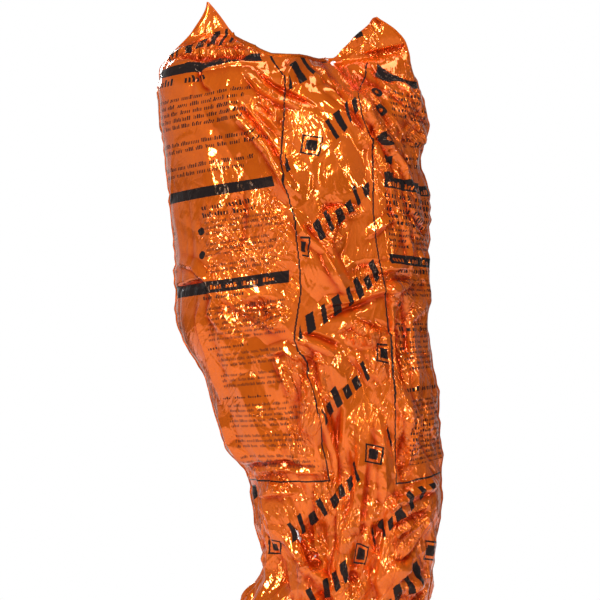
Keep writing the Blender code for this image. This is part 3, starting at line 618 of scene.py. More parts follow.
def long_facets(face, along, up, x, z, strength):
    """Long narrow facets that run with the folds: a height, and the strength of creasing where they lie."""
    sheet = CreasedSheet(31 if face == FRONT else 37)
    sheet.add_facets(0.021, 0.0068, 6.0)
    sheet.add_facets(0.010, 0.0022, 7.0)
    if face == FRONT:
        from_pinch = (x - 0.030) * 0.889 + (z - 1.580) * 0.458
        top_right = smooth_step(from_pinch, -0.012, 0.020) * smooth_step(z, 1.16, 1.26)
        top_right = top_right * (1 - smooth_step(z, 1.56, 1.60))
        top_left = near_spot(x, z, -0.075, 1.450, 0.125, 0.150, 1.4) * 0.55
        right_side = smooth_step(x, 0.165, 0.215) * (1 - smooth_step(z, 1.16, 1.26)) * 0.75
        legs = (1 - smooth_step(z, 0.56, 0.74)) * 0.9
        folded = smooth_step(z, 1.590, 1.604) * smooth_step(0.172 - x + 0.2 * (z - 1.6), -0.006, 0.006)
        folded = folded * smooth_step(x, 0.085, 0.105)
        zones = [(33, top_right), (24, top_left), (-4, np.maximum(right_side, legs)), (-42, 1.2 * folded)]
    else:
        upper, right = smooth_step(z, 0.70, 0.95), smooth_step(x, -0.05, 0.05)
        zones = [(17, 0.65 * upper * right), (-20, 0.65 * upper * (1 - right)), (-5, 0.85 * (1 - upper))]
    height = np.zeros_like(x)
    for degrees, weight in zones:
        turn = math.radians(degrees)
        over = along * math.cos(turn) + (up - 1.0) * math.sin(turn)
        high = (up - 1.0) * math.cos(turn) - along * math.sin(turn) + 1.0
        height += weight * sheet.read(over, high)
        strength = np.maximum(strength, 0.9 * weight)
    return height, strength


def lowest_near(heights, reach):
    """The lowest height within a few rows and columns of each place."""
    for axis in (0, 1):
        padded = np.pad(heights, [(reach, reach) if axis == way else (0, 0) for way in (0, 1)], mode="edge")
        size = heights.shape[axis]
        heights = np.min(
            [np.take(padded, range(start, start + size), axis=axis) for start in range(2 * reach + 1)],
            axis=0,
        )
    return heights


def mean_near(heights, reach):
    """The mean height within a few rows and columns of each place."""
    for axis in (0, 1):
        padded = np.pad(
            heights, [(reach + 1, reach) if axis == way else (0, 0) for way in (0, 1)], mode="edge"
        )
        total = np.cumsum(padded, axis=axis)
        size = heights.shape[axis]
        after = np.take(total, range(2 * reach + 1, 2 * reach + 1 + size), axis=axis)
        heights = (after - np.take(total, range(size), axis=axis)) / (2 * reach + 1)
    return heights


def build_film(face):
    """One crumpled panel: points, places in the print, how worked the film is, how much painted shade the
    valleys of its folds get, smooth normals, and how far each point stands above the lowest ones near it."""
    front = face == FRONT
    points, along, up, turn = panel_layout(face, *FILM_GRID[face])
    points = points + outward(points) * FILM_STANDS_OFF
    wall = up > FOOT_LENGTH
    points[..., 1] += np.where(wall, face * main_fold_heights(face, turn, points[..., 0], points[..., 2]), 0)
    normal = smooth_normal = outward(points)
    x, z = points[..., 0], points[..., 2]
    sheet = CreasedSheet(7 if front else 19)
    sheet.add_swell(0.090, 0.0016, 1.6)
    sheet.add_facets(0.075, 0.0048, 1.9)
    sheet.add_creases(70, (0.10, 0.36), (0.012, 0.030), 0.0040, 0.75)
    gathers = CreasedSheet(9 if front else 21)
    gathers.add_creases(300, (0.16, 0.45), (0.009, 0.016), 0.0020, 1.0, 0.20, 0.70, least=0.0085)
    gathers.add_creases(60, (0.16, 0.45), (0.010, 0.020), 0.0020, 1.0, 0.72, 1.75, least=0.0050)
    aside = np.abs(turn - 0.5)
    apart = smooth_step(aside, 0.22, 0.36) if front else 0.55 + 0.45 * smooth_step(aside, 0.20, 0.40)
    hidden = 1 - smooth_step(z, 0.30, 0.42)
    large = sheet.read(along, up) + gathers.read(along, up) * np.maximum(apart, hidden) * 0.8
    if front:
        strength, lean = patch_heights(x, z)
        lower_left = near_spot(x, z, -0.190, 0.840, 0.100, 0.170)
        smooth_middle = near_spot(x, z, 0.072, 1.390, 0.070, 0.105)
        strength = np.maximum(strength, 0.50 * lower_left) * (1 - 0.75 * smooth_middle)
        flap = 0.9 * smooth_step(x, 0.140, 0.160) * smooth_step(above_slit(x, z), -0.002, 0.006)
        strength = strength * (1 - flap)
        large = large * (0.60 - 0.40 * lower_left)
        for drawn in (fold_heights(x, z, FRONT_FOLDS + RIGHT_FAN), lean, ear_heights(x, z)):
            large = large + np.where(wall, drawn, 0)
    else:
        strength = np.full_like(up, 0.8)
        large = large * 0.9 + np.where(wall, fold_heights(x, z, random_folds(5, 46, 0.02, 1.35)), 0)
    long, strength = long_facets(face, along, up, x, z, strength)
    from_seam = np.minimum(turn, 1 - turn)
    floor_hold = 0.15 + 0.85 * smooth_step(up, 0.18, 0.26)
    mouth_hold = 0.30 + 0.70 * np.clip((pinch_at(across_share(turn)) - z) / 0.05, 0, 1)
    moved = (large + long) * smooth_step(from_seam, 0.0, 0.075) * floor_hold * (0.45 + 0.55 * mouth_hold)
    points = points + normal * moved[..., None]
    normal = outward(points)
    fine = CreasedSheet(8 if front else 20)
    fine.add_facets(0.036, 0.0026, 1.9)
    fine.add_facets(0.015, 0.0005, 2.0)
    fine.add_creases(1500, (0.04, 0.20), (0.0028, 0.0050), 0.0014, 0.45)
    seam_hold = 0.25 + 0.75 * smooth_step(from_seam, 0.0, 0.030)
    small = fine.read(along, up) * strength * seam_hold * floor_hold * (0.35 + 0.65 * mouth_hold)
    points = points + normal * small[..., None]
    # Painted shade: the further a place lies below the film around it, the more its colour is darkened and
    # reddened and its gloss weakened, in place of shadow and light bounced between the folds.
    painted_fold_shade = np.clip((mean_near(moved, 7) - moved) / 0.0042, 0, 1)
    moved = moved + small
    at_left, at_right = 1 - smooth_step(turn, 0.0, 0.09), 1 - smooth_step(1 - turn, 0.0, 0.09)
    left_shift = seam_shift("left", z) * at_left[..., None]
    right_shift = seam_shift("right", z) * at_right[..., None]
    points = points + left_shift + right_shift
    points[..., 2] = np.maximum(points[..., 2], LEAST_HEIGHT)
    nearest = face * 0.0002 + left_shift[..., 1] + right_shift[..., 1]
    points[..., 1] = (np.minimum if front else np.maximum)(points[..., 1], nearest)
    places = print_places(face, turn, along, z, up)
    worked = np.clip((strength - 0.50) / 1.5, 0, 1)
    return points, places, (worked, painted_fold_shade), smooth_normal, moved - lowest_near(moved, 4)


def print_places(face, turn, along, height, up):
    """Each point's place in the print: metres across, and metres up at the nearest upright rule."""
    if face == BACK:
        return np.stack([-along, up - FOOT_LENGTH], axis=-1)
    low, high = left_edge(height), right_edge(height)
    last = turn.shape[1] - 1

    def along_at(rule):
        """Where a rule runs, in the film's own measure."""
        portion = np.clip((rule(height) - low) / (high - low), 0.02, 0.98)
        column = np.rint(np.arccos(1 - 2 * portion) / np.pi * last).astype(int)
        return np.take_along_axis(along, np.clip(column, 0, last), axis=1)

    at_left, at_right = along_at(left_rule), along_at(right_rule)
    middle = (along - at_left) / np.maximum(at_right - at_left, 0.02)
    across = P_LEFT_RULE + (P_RIGHT_RULE - P_LEFT_RULE) * middle
    across = np.where(along > at_right, P_RIGHT_RULE + (along - at_right), across)
    across = np.where(along < at_left, P_LEFT_RULE + (along - at_left), across)
    x = low + (high - low) * across_share(turn)
    from_left, from_right = x - left_rule(height), x - right_rule(height)
    climbs = np.where(from_right > 0, right_lean(height) * from_right, 0)
    climbs = np.where(from_left < 0, -left_lean(height) * from_left, climbs)
    upwards = np.where(up < FOOT_LENGTH, up - FOOT_LENGTH, height + climbs)
    return np.stack([across, upwards], axis=-1)


def grid_mesh(name, points, places=None, finish=(), flip=False, normals=None, **amounts):
    """A mesh of an even grid moved to the given points, with their places in the print as its UV map."""
    rows, columns = points.shape[:2]
    shape = bmesh.new()
    bmesh.ops.create_grid(shape, x_segments=columns - 1, y_segments=rows - 1, size=0.5)
    mesh = bpy.data.meshes.new(name)
    shape.to_mesh(mesh)
    shape.free()
    even = np.empty(len(mesh.vertices) * 3)
    mesh.vertices.foreach_get("co", even)
    even = even.reshape(-1, 3)
    column = np.rint((even[:, 0] + 0.5) * (columns - 1)).astype(int)
    row = np.rint((even[:, 1] + 0.5) * (rows - 1)).astype(int)
    mesh.vertices.foreach_set("co", points[row, column].ravel())
    if places is not None:
        layer = mesh.uv_layers.new(name="print")
        corner = np.empty(len(mesh.loops), dtype=np.int32)
        mesh.loops.foreach_get("vertex_index", corner)
        layer.data.foreach_set("uv", places[row, column][corner].ravel())
    if normals is not None:
        kept = mesh.attributes.new("film_normal", "FLOAT_VECTOR", "POINT")
        kept.data.foreach_set("vector", normals[row, column].ravel())
    for label, values in amounts.items():
        amount = mesh.attributes.new(label, "FLOAT", "POINT")
        amount.data.foreach_set("value", values[row, column].ravel())
    if flip:
        mesh.flip_normals()
    for material in finish:
        mesh.materials.append(material)
    mesh.shade_smooth()
    mesh.update()
    return mesh


def trimmed(mesh, name, cuts, keep):
    """A copy of a mesh cut by upright-ish planes, keeping the faces whose middles pass a test."""
    shape = bmesh.new()
    shape.from_mesh(mesh)
    for point, upward, low_x, high_x in cuts:
        near = []
        for face in shape.faces:
            middle = face.calc_center_median()
            if low_x < middle.x < high_x and abs((middle - point).dot(upward)) < CUT_REACH:
                near.append(face)
        edges = {e for f in near for e in f.edges}
        verts = {v for f in near for v in f.verts}
        bmesh.ops.bisect_plane(shape, geom=[*verts, *edges, *near], plane_co=point, plane_no=upward)
    bmesh.ops.delete(
        shape, geom=[f for f in shape.faces if not keep(f.calc_center_median())], context="FACES"
    )
    made = bpy.data.meshes.new(name)
    shape.to_mesh(made)
    shape.free()
    for material in mesh.materials:
        made.materials.append(material)
    return made


def keep_normals(mesh):
    """Shades a mesh by the normals of the whole panel, so that no line shows where its pieces meet."""
    kept = mesh.attributes["film_normal"]
    normals = np.empty(len(mesh.vertices) * 3)
    kept.data.foreach_get("vector", normals)
    mesh.attributes.remove(kept)
    mesh.normals_split_custom_set_from_vertices(normals.reshape(-1, 3).tolist())


def place(name, mesh):
    """Puts a finished mesh in the scene, at the origin."""
    piece = bpy.data.objects.new(name, mesh)
    bpy.context.scene.collection.objects.link(piece)
    return piece


def above(crease, upward, low_x, high_x):
    """A test for whether a place lies above a crease, between two distances across."""
    return lambda place: low_x < place.x < high_x and (place - crease).dot(upward) > 0


CREASES = [
    (LEFT_CREASE, LEFT_CREASE_UP, -1.0, LEFT_PEAK_ENDS),
    (RIGHT_CREASE, RIGHT_CREASE_UP, RIGHT_PEAK_STARTS, 1.0),
]
in_left_peak, in_right_peak = above(*CREASES[0]), above(*CREASES[1])


def in_bag(spot):
    """Whether a place belongs to neither corner of the mouth."""
    return not in_left_peak(spot) and not in_right_peak(spot)


# How far from a crease faces are cut, and the length over which a corner's film bends.
CUT_REACH, FOLD_OVER = 0.08, 0.009


def film_pieces(face, name, finish):
    """Makes a whole panel: its bands, lowest first, which go on the bag's body, and its left and right peaks.
    """
    points, places, (worked, painted_fold_shade) = film_points(face)[:3]
    normals = outward(points)
    cuts = np.linspace(0, points.shape[0] - 1, BANDS[face] + 1).astype(int)
    pieces = []
    for index, (low, high) in enumerate(zip(cuts[:-1], cuts[1:])):
        rows = slice(low, high + 1)
        amounts = {"normals": normals[rows], "worked": worked[rows], "painted_fold_shade": painted_fold_shade[rows]}
        mesh = grid_mesh(name + "_sheet", points[rows], places[rows], [finish], **amounts)
        label = name if BANDS[face] == 1 else name + ("_low", "_middle", "_high")[index]
        if high < points.shape[0] - 1:
            mesh.name = label
            pieces.append(place(label, mesh))
            continue
        pieces.append(place(label, trimmed(mesh, label, CREASES, in_bag)))
        left = place("left_peak_" + name, trimmed(mesh, "left_peak_" + name, CREASES, in_left_peak))
        right = place("right_peak_" + name, trimmed(mesh, "right_peak_" + name, CREASES, in_right_peak))
        bpy.data.meshes.remove(mesh)
    for piece in (*pieces, left, right):
        keep_normals(piece.data)
    for piece in pieces:
        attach(piece, "bag")
    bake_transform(left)
    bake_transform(right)
    return pieces, left, right


class Wires:
    """Short ways to add and join nodes in one node tree."""

    def __init__(self, tree):
        self.tree = tree

    def join(self, start, end):
        """Gives an input a plain value, or joins it to an output or to a node's first output."""
        if isinstance(start, (int, float, tuple)):
            end.default_value = start
        else:
            self.tree.links.new(start.outputs[0] if isinstance(start, bpy.types.Node) else start, end)

    def node(self, kind, inputs=(), **settings):
        """A new node with its settings, then its inputs by name or by number."""
        made = self.tree.nodes.new("ShaderNode" + kind)
        for name, value in settings.items():
            setattr(made, name, value)
        for socket, value in dict(inputs).items():
            self.join(value, made.inputs[socket])
        return made

    def math(self, operation, a, b=0.0, c=None, clamp=False):
        inputs = {0: a, 1: b} if c is None else {0: a, 1: b, 2: c}
        return self.node("Math", inputs, operation=operation, use_clamp=clamp).outputs[0]

    plus = partialmethod(math, "ADD")
    minus = partialmethod(math, "SUBTRACT")
    times = partialmethod(math, "MULTIPLY")
    over = partialmethod(math, "DIVIDE")
    scaled = partialmethod(math, "MULTIPLY_ADD")
    less = partialmethod(math, "LESS_THAN")
    more = partialmethod(math, "GREATER_THAN")

    def vector(self, operation, a, b=(0.0, 0.0, 0.0)):
        return self.node("VectorMath", {0: a, 1: b}, operation=operation)

    def chance(self, a, b):
        """A random number for each pair of numbers."""
        pair = self.node("CombineXYZ", {0: a, 1: b})
        return self.node("TexWhiteNoise", {"Vector": pair}, noise_dimensions="2D").outputs["Value"]

    def ramp(self, value, stops, interpolation="CONSTANT"):
        """Shades of grey by position."""
        made = self.node("ValToRGB", {0: value})
        made.color_ramp.interpolation = interpolation
        elements = made.color_ramp.elements
        while len(elements) > 1:
            elements.remove(elements[-1])
        elements[0].position, elements[0].color = stops[0][0], (stops[0][1],) * 3 + (1,)
        for position, shade in stops[1:]:
            elements.new(position).color = (shade,) * 3 + (1,)
        return made.outputs[0]

    def slope(self, value, start, end, low=0.0, high=1.0):
        """Turns evenly from low, where the value is start, to high, where it is end."""
        inputs = {"Value": value, "From Min": start, "From Max": end, "To Min": low, "To Max": high}
        return self.node("MapRange", inputs, interpolation_type="SMOOTHSTEP").outputs[0]

    def mix(self, factor, a, b, kind="RGBA"):
        first, out = {"RGBA": (6, 2), "FLOAT": (2, 0)}[kind]
        return self.node("Mix", {0: factor, first: a, first + 1: b}, data_type=kind).outputs[out]

    def between(self, value, low, high):
        """1 where the value lies between low and high."""
        return self.times(self.more(value, low), self.less(value, high))

    def any_of(self, *masks):
        total = masks[0]
        for mask in masks[1:]:
            total = self.math("MAXIMUM", total, mask)
        return total

    def all_of(self, *masks):
        total = masks[0]
        for mask in masks[1:]:
            total = self.times(total, mask)
        return total

    def placed(self, group, **inputs):
        """A node group with its own inputs."""
        return self.node("Group", inputs.items(), node_tree=group)


def add_group(name, inputs, *outputs):
    """An empty node group, whose inputs without a value and whose output called Normal are vectors."""
    group = bpy.data.node_groups.new(name, "ShaderNodeTree")
    for label, value in inputs.items():
        kind = "NodeSocketVector" if value is None else "NodeSocketFloat"
        socket = group.interface.new_socket(name=label, in_out="INPUT", socket_type=kind)
        if value is not None:
            socket.default_value = value
    for label in outputs:
        kind = "NodeSocketVector" if label == "Normal" else "NodeSocketFloat"
        group.interface.new_socket(name=label, in_out="OUTPUT", socket_type=kind)
    return Wires(group), group.nodes.new("NodeGroupInput").outputs, group.nodes.new("NodeGroupOutput").inputs


# Three layers of fine creases: patches a metre, strokes a metre, how drawn out the strokes are, how far
# they lean, half the width of a ridge, and where the layer starts.
CRINKLE_LAYERS = (
    (7.0, 70.0, 0.20, 0.6, 0.0012, 0.0),
    (10.0, 160.0, 0.14, 1.0, 0.0, 3.7),
    (16.0, 320.0, 0.12, 0.9, 0.0, 8.1),
)


def crinkle_group():
    """Fine straight creases, each patch its own way: a height, and a normal that leans with the facets."""
    inputs = {"Place": None, "Scale": 1.0, "Tilt": 0.1, "Calm": 0.3, "Worked": 0.0}
    w, got, give = add_group("fine_creases", inputs, "Height", "Normal", "Mask")
    tilt, height, mask = None, None, None
    for patches, strokes, drawn, weight, half, seed in CRINKLE_LAYERS:
        moved = w.vector("ADD", got["Place"], (seed, seed, 0.0))
        patch_scale = w.times(got["Scale"], patches)
        zones = w.node("TexVoronoi", {"Vector": moved, "Scale": patch_scale}, feature="F1").outputs
        luck = w.node("SeparateColor", {0: zones["Color"]}).outputs
        angle = w.scaled(luck[0], 1.8, -0.9)
        turning = {"Vector": moved, "Center": zones["Position"], "Angle": angle}
        turned = w.node("VectorRotate", turning, rotation_type="Z_AXIS")
        long = w.vector("MULTIPLY", turned, (1.0, drawn, drawn))
        here = w.ramp(luck[1], [(0.50, 0.0), (0.80, 1.0)], "LINEAR")
        here = w.scaled(here, w.minus(1.0, got["Calm"]), got["Calm"])
        lively = w.math("MAXIMUM", w.times(here, 0.26), got["Worked"])
        mask = here if mask is None else mask
        scale = w.times(got["Scale"], strokes)
        cells = w.node("TexVoronoi", {"Vector": long, "Scale": scale}, feature="F1").outputs
        luck = w.node("SeparateColor", {0: cells["Color"]}).outputs
        sideways = w.minus(luck[0], 0.5)
        sideways = w.times(sideways, w.times(w.math("ABSOLUTE", sideways), 2.0))
        upright = w.times(w.minus(luck[1], 0.5), 0.35)
        cosine, sine = w.math("COSINE", angle), w.math("SINE", angle)
        lean_x = w.scaled(sideways, cosine, w.times(upright, sine))
        lean_z = w.minus(w.times(upright, cosine), w.times(sideways, sine))
        lean = w.node("CombineXYZ", {0: lean_x, 2: lean_z})
        share = w.times(w.times(got["Tilt"], weight), lively)
        lean = w.node("VectorMath", {0: lean, "Scale": share}, operation="SCALE")
        tilt = lean if tilt is None else w.vector("ADD", tilt, lean)
        if half:
            edges = w.node("TexVoronoi", {"Vector": long, "Scale": scale}, feature="DISTANCE_TO_EDGE")
            ridge = w.minus(1.0, w.over(edges.outputs["Distance"], w.times(scale, half)), clamp=True)
            height = w.times(w.times(ridge, half), lively)
    leaned = w.vector("ADD", w.node("NewGeometry").outputs["Normal"], tilt)
    w.join(height, give["Height"])
    w.join(w.vector("NORMALIZE", leaned), give["Normal"])
    w.join(mask, give["Mask"])
    return w.tree


def text_group():
    """Rows of plain dashes in the rhythm of print: words, gaps, and lines that end unevenly."""
    inputs = {"Across": 0.0, "Down": 0.0, "Pitch": 0.016, "Tall": 0.007}
    inputs.update(Width=0.2, Word=0.03, Stroke=0.004, Seed=0.0)
    w, got, give = add_group("dashed_rows", inputs, "Mask")

    def luck_of(number):
        return w.node("TexWhiteNoise", {"W": number}, noise_dimensions="1D").outputs["Value"]

    rows = w.over(got["Down"], got["Pitch"])
    row = w.math("FLOOR", rows)
    down = w.times(w.minus(rows, row), got["Pitch"])
    numbered = w.plus(row, got["Seed"])
    luck = luck_of(numbered)
    words = w.scaled(luck, 37.0, w.over(got["Across"], got["Word"]))
    word = w.math("FLOOR", words)
    in_word = w.less(w.minus(words, word), w.scaled(w.chance(word, numbered), 0.22, 0.70))
    strokes = w.scaled(luck, 11.0, w.over(got["Across"], got["Stroke"]))
    stroke = w.math("FLOOR", strokes)
    size = w.chance(stroke, numbered)
    in_stroke = w.less(w.minus(strokes, stroke), w.scaled(size, 0.22, 0.46))
    rise = w.times(got["Tall"], 0.36)
    high = w.more(down, w.times(rise, w.less(size, 0.72)))
    low = w.less(down, w.plus(rise, got["Tall"]))
    ends = w.times(got["Width"], w.scaled(luck_of(w.plus(numbered, 71.3)), 0.26, 0.74))
    inside = w.between(got["Across"], 0.0, ends)
    w.join(w.all_of(in_word, in_stroke, high, low, inside), give["Mask"])
    return w.tree


RUN_LENGTH, RUN_SHIFT, BAR_PITCH, BARS_END = 0.36, 0.1870, 0.033, 0.264
DIAMOND_MIDDLE, DIAMOND_FRAME, DIAMOND_CORE = 0.314, (0.0245, 0.0300), 0.0165


def marks_group():
    """Slanting runs of bold slanted bars with a framed diamond between runs."""
    inputs = {"Across": 0.0, "Up": 0.0, "Angle": 0.6, "Pitch": 0.15, "Tall": 0.04}
    w, got, give = add_group("slanting_marks", inputs, "Mask")
    cosine, sine = w.math("COSINE", got["Angle"]), w.math("SINE", got["Angle"])
    along = w.plus(w.times(got["Across"], cosine), w.times(got["Up"], sine))
    aside = w.minus(w.times(got["Up"], cosine), w.times(got["Across"], sine))
    rows = w.over(aside, got["Pitch"])
    row = w.math("FLOOR", rows)
    off = w.over(w.times(w.minus(w.minus(rows, row), 0.5), got["Pitch"]), got["Tall"])
    near = w.math("ABSOLUTE", off)
    run = w.times(w.math("FRACT", w.over(w.scaled(row, RUN_SHIFT, along), RUN_LENGTH)), RUN_LENGTH)
    cells = w.over(run, BAR_PITCH)
    cell = w.math("FLOOR", cells)
    luck = w.chance(cell, row)
    slanted = w.minus(w.minus(cells, cell), w.times(off, 0.42))
    tall = w.less(near, 0.5)
    wide = w.times(w.between(slanted, 0.16, 0.76), tall)
    narrow = w.times(w.between(slanted, 0.30, 0.66), tall)
    short = w.times(w.between(slanted, 0.16, 0.80), w.less(w.math("ABSOLUTE", w.plus(off, 0.18)), 0.30))
    shape = w.mix(w.more(luck, 0.34), wide, narrow, "FLOAT")
    shape = w.mix(w.more(luck, 0.66), shape, short, "FLOAT")
    bars = w.times(shape, w.less(run, BARS_END))
    reach = w.plus(w.math("ABSOLUTE", w.minus(run, DIAMOND_MIDDLE)), w.times(near, got["Tall"]))
    diamonds = w.any_of(w.between(reach, *DIAMOND_FRAME), w.less(reach, DIAMOND_CORE))
    w.join(w.any_of(bars, diamonds), give["Mask"])
    return w.tree


def height_bands(w, up, bands):
    """1 where a height on the print lies in one of the bands."""
    stops = [(0.0, 0.0)]
    for low, high in sorted(bands):
        stops += [((low - PRINT_LOW) / PRINT_SPAN, 1.0), ((high - PRINT_LOW) / PRINT_SPAN, 0.0)]
    return w.ramp(w.over(w.minus(up, PRINT_LOW), PRINT_SPAN), stops)


def discs(w, across, up, spots, radius):
    """Round marks at several places."""
    found = []
    for p, q in spots:
        dx, dy = w.minus(across, p), w.minus(up, q)
        found.append(w.less(w.plus(w.times(dx, dx), w.times(dy, dy)), radius * radius))
    return w.any_of(*found)


def text_rows(w, group, across, up, top, start, width, pitch, tall, word, stroke, seed, bands):
    """One style of dashed rows, shown only in the bands where it is used."""
    # The group is added before the nodes that feed it, which keeps the whole print small enough to render.
    rows = w.placed(group, Pitch=pitch, Tall=tall, Width=width, Word=word, Stroke=stroke, Seed=seed)
    w.join(w.minus(across, start), rows.inputs["Across"])
    w.join(w.minus(top, up), rows.inputs["Down"])
    return w.times(rows.outputs["Mask"], height_bands(w, up, bands))


# Styles of dashed rows: top of the first row, start and width of the column beside its rule, height from
# row to row, height of a dash, length of a word, length of a stroke, seed, and the bands that show.
LEFT_BAR_TEXT = [(1.1025, -0.21, 0.19, 0.02, 0.0072, 0.045, 0.0075, 5.0, [(1.089, 1.104)])]
RIGHT_BAR_TEXT = [
    (1.3110, 0.034, 0.20, 0.02, 0.0080, 0.045, 0.0080, 9.0, [(1.296, 1.312)]),
    (1.1420, 0.034, 0.20, 0.02, 0.0080, 0.045, 0.0080, 12.0, [(1.127, 1.144)]),
]
LEFT_LOWERED_TEXT = [
    (
        *(1.5285, -0.385, 0.365, 0.0155, 0.0068, 0.034, 0.0056, 1.0),
        [(1.452, 1.5290), (1.4070, 1.4345), (1.3445, 1.3760)],
    ),
]
LEFT_TEXT = [
    (1.5730, -0.42, 0.275, 0.030, 0.0110, 0.12, 0.0115, 2.0, [(1.5540, 1.5740)]),
    (1.2800, -0.225, 0.175, 0.0165, 0.0080, 0.045, 0.0078, 3.0, [(1.2480, 1.2810)]),
    (
        *(1.0800, -0.232, 0.135, 0.0590, 0.0064, 0.040, 0.0062, 4.0),
        [(1.0705, 1.0805), (0.9515, 0.9620), (0.8375, 0.8480)],
    ),
]
RIGHT_TEXT = [
    (
        *(1.5480, 0.080, 0.25, 0.0165, 0.0070, 0.034, 0.0062, 21.0),
        [(1.4600, 1.5500), (1.3860, 1.4200), (1.3280, 1.3600)],
    ),
    (
        *(1.2870, 0.030, 0.24, 0.0152, 0.0086, 0.050, 0.0078, 22.0),
        [(1.2130, 1.2880), (1.1020, 1.1180), (0.9720, 0.9900), (0.8260, 0.8430)],
    ),
    (
        *(0.9640, 0.032, 0.24, 0.0122, 0.0050, 0.028, 0.0040, 23.0),
        [(0.8790, 0.9650), (0.6640, 0.8150), (1.0450, 1.0900), (1.1600, 1.2050)],
    ),
]
# The small print of the left side: top of its first row, height from row to row, its share of full ink,
# and the first and last row of each paragraph.
SMALL_TEXT_TOP, SMALL_PITCH, SMALL_INK = 1.2427, 0.012, 0.90
SMALL_ROWS = [(0, 2), (4, 6), (8, 9), (16, 22), (25, 27), (29, 31), (35, 39), (41, 43), (45, 47)]
LEFT_BARS = [(1.577, 1.593), (1.292, 1.317), (1.085, 1.108)]
RIGHT_BARS = [(1.577, 1.593), (1.292, 1.317), (1.124, 1.148)]
LEFT_RULE_ENDS, RIGHT_RULE_ENDS = (0.642, 1.600), (0.634, 1.585)


def print_place(w):
    """Where a point lies in the print, across and up."""
    parts = w.node("SeparateXYZ")
    w.join(w.node("UVMap", uv_map="print"), parts.inputs[0])
    return parts.outputs["X"], parts.outputs["Y"]


def front_print(w, text, marks):
    """The ink on the front panel: two text panels with rules and bars, and slanting marks around them."""
    p, q = print_place(w)
    one, two = P_LEFT_RULE, P_RIGHT_RULE

    def rows(styles, rule, up=q):
        return [text_rows(w, text, p, up, top, rule + start, *style) for top, start, *style in styles]

    def on_rule(value, rule):
        return w.math("COMPARE", value, rule, RULE_HALF)

    lines = w.any_of(
        w.times(on_rule(p, one), w.between(q, *LEFT_RULE_ENDS)),
        w.times(on_rule(p, two), w.between(q, *RIGHT_RULE_ENDS)),
        w.times(w.less(p, one), on_rule(q, LEFT_RULE_ENDS[0])),
        w.times(w.more(p, two), on_rule(q, RIGHT_RULE_ENDS[0])),
    )
    left_bars = w.times(height_bands(w, q, LEFT_BARS), w.between(p, one - 0.50, one - 0.024))
    right_bars = w.times(height_bands(w, q, RIGHT_BARS), w.between(p, two + 0.026, two + 0.40))
    reversed_text = w.any_of(*rows(LEFT_BAR_TEXT, one), *rows(RIGHT_BAR_TEXT, two))
    bars = w.times(w.any_of(left_bars, right_bars), w.minus(1.0, reversed_text))
    lowered = w.scaled(w.between(q, 1.394, 1.436), 0.0088, q)
    left_words = w.any_of(*rows(LEFT_LOWERED_TEXT, one, lowered), *rows(LEFT_TEXT, one))
    column = w.mix(w.less(p, one - 0.243), one - 0.222, one - 0.515, "FLOAT")
    bands = []
    for first, last in SMALL_ROWS:
        low = SMALL_TEXT_TOP - SMALL_PITCH * (last + 1) + 0.003
        bands.append((low, SMALL_TEXT_TOP - SMALL_PITCH * first + 0.003))
    small_style = (column, 0.205, SMALL_PITCH, 0.0050, 0.026, 0.0038, 6.0, bands)
    small = w.times(text_rows(w, text, p, q, SMALL_TEXT_TOP + 0.0026, *small_style), SMALL_INK)
    dots = discs(w, p, q, [(one - 0.232, 1.2245), (one - 0.232, 1.172)], 0.009)
    left_side = w.times(w.less(p, one - 0.012), w.any_of(left_words, small, dots))
    spots = [(two + 0.052, 1.533), (two + 0.055, 1.4795), (two + 0.036, 1.403)]
    rings = w.times(discs(w, p, q, spots, 0.0145), w.minus(1.0, discs(w, p, q, spots, 0.0050)))
    squares = height_bands(w, q, [(1.343, 1.360), (1.3090, 1.3270)])
    squares = w.times(squares, w.between(p, two + 0.028, two + 0.050))
    dots = discs(w, p, q, [(two + 0.036, 1.035)], 0.0060)
    right_side = w.times(w.more(p, two + 0.012), w.any_of(rings, squares, dots, *rows(RIGHT_TEXT, two)))
    chain = w.placed(marks, Angle=0.62, Pitch=0.150, Tall=0.040, Across=p, Up=q)
    crown = w.placed(marks, Angle=0.10, Pitch=0.400, Tall=0.036)
    w.join(w.plus(p, 0.30), crown.inputs["Across"])
    w.join(w.minus(q, 1.440), crown.inputs["Up"])
    below_left = w.times(w.less(p, one + 0.009), w.less(q, 0.628))
    below_right = w.times(w.more(p, two - 0.009), w.less(q, 0.620))
    open_strip = w.between(p, one + 0.009, two - 0.009)
    marked = w.times(chain.outputs["Mask"], w.any_of(open_strip, below_left, below_right))
    crowned = w.all_of(crown.outputs["Mask"], w.more(q, 1.600), w.less(p, one - 0.02))
    return w.any_of(lines, bars, left_side, right_side, marked, crowned)


def back_print(w, marks):
    """The ink on the back panel: slanting marks all over."""
    p, q = print_place(w)
    return w.placed(marks, Angle=0.62, Pitch=0.158, Tall=0.040, Across=p, Up=q).outputs["Mask"]


def rgba(colour, share=1.0):
    """A setting's colour, or a darker share of it, with full opacity."""
    return tuple(channel * share for channel in colour) + (1.0,)


def new_material(name, metallic, roughness):
    """A material whose shader keeps its plain values on its own sockets."""
    material = bpy.data.materials.new(name)
    material.use_nodes = True
    shader = material.node_tree.nodes["Principled BSDF"].inputs
    shader["Metallic"].default_value = metallic
    shader["Roughness"].default_value = roughness
    return material, shader, Wires(material.node_tree)


def bump(w, height, distance, **normal):
    """A normal that follows a height."""
    inputs = {"Strength": 1.0, "Distance": distance, "Height": height, **normal}
    return w.node("Bump", inputs).outputs["Normal"]


def crinkled(w, settings, crinkles, place, calm, density=1.0, **inputs):
    """The fine creases as a material uses them."""
    scale = settings.crinkle_scale * density
    inputs.update(Place=place, Scale=scale, Tilt=settings.crinkle_tilt, Calm=calm)
    return w.placed(crinkles, **inputs).outputs


FILM_TINT = (1.0, 0.42, 0.14, 1)


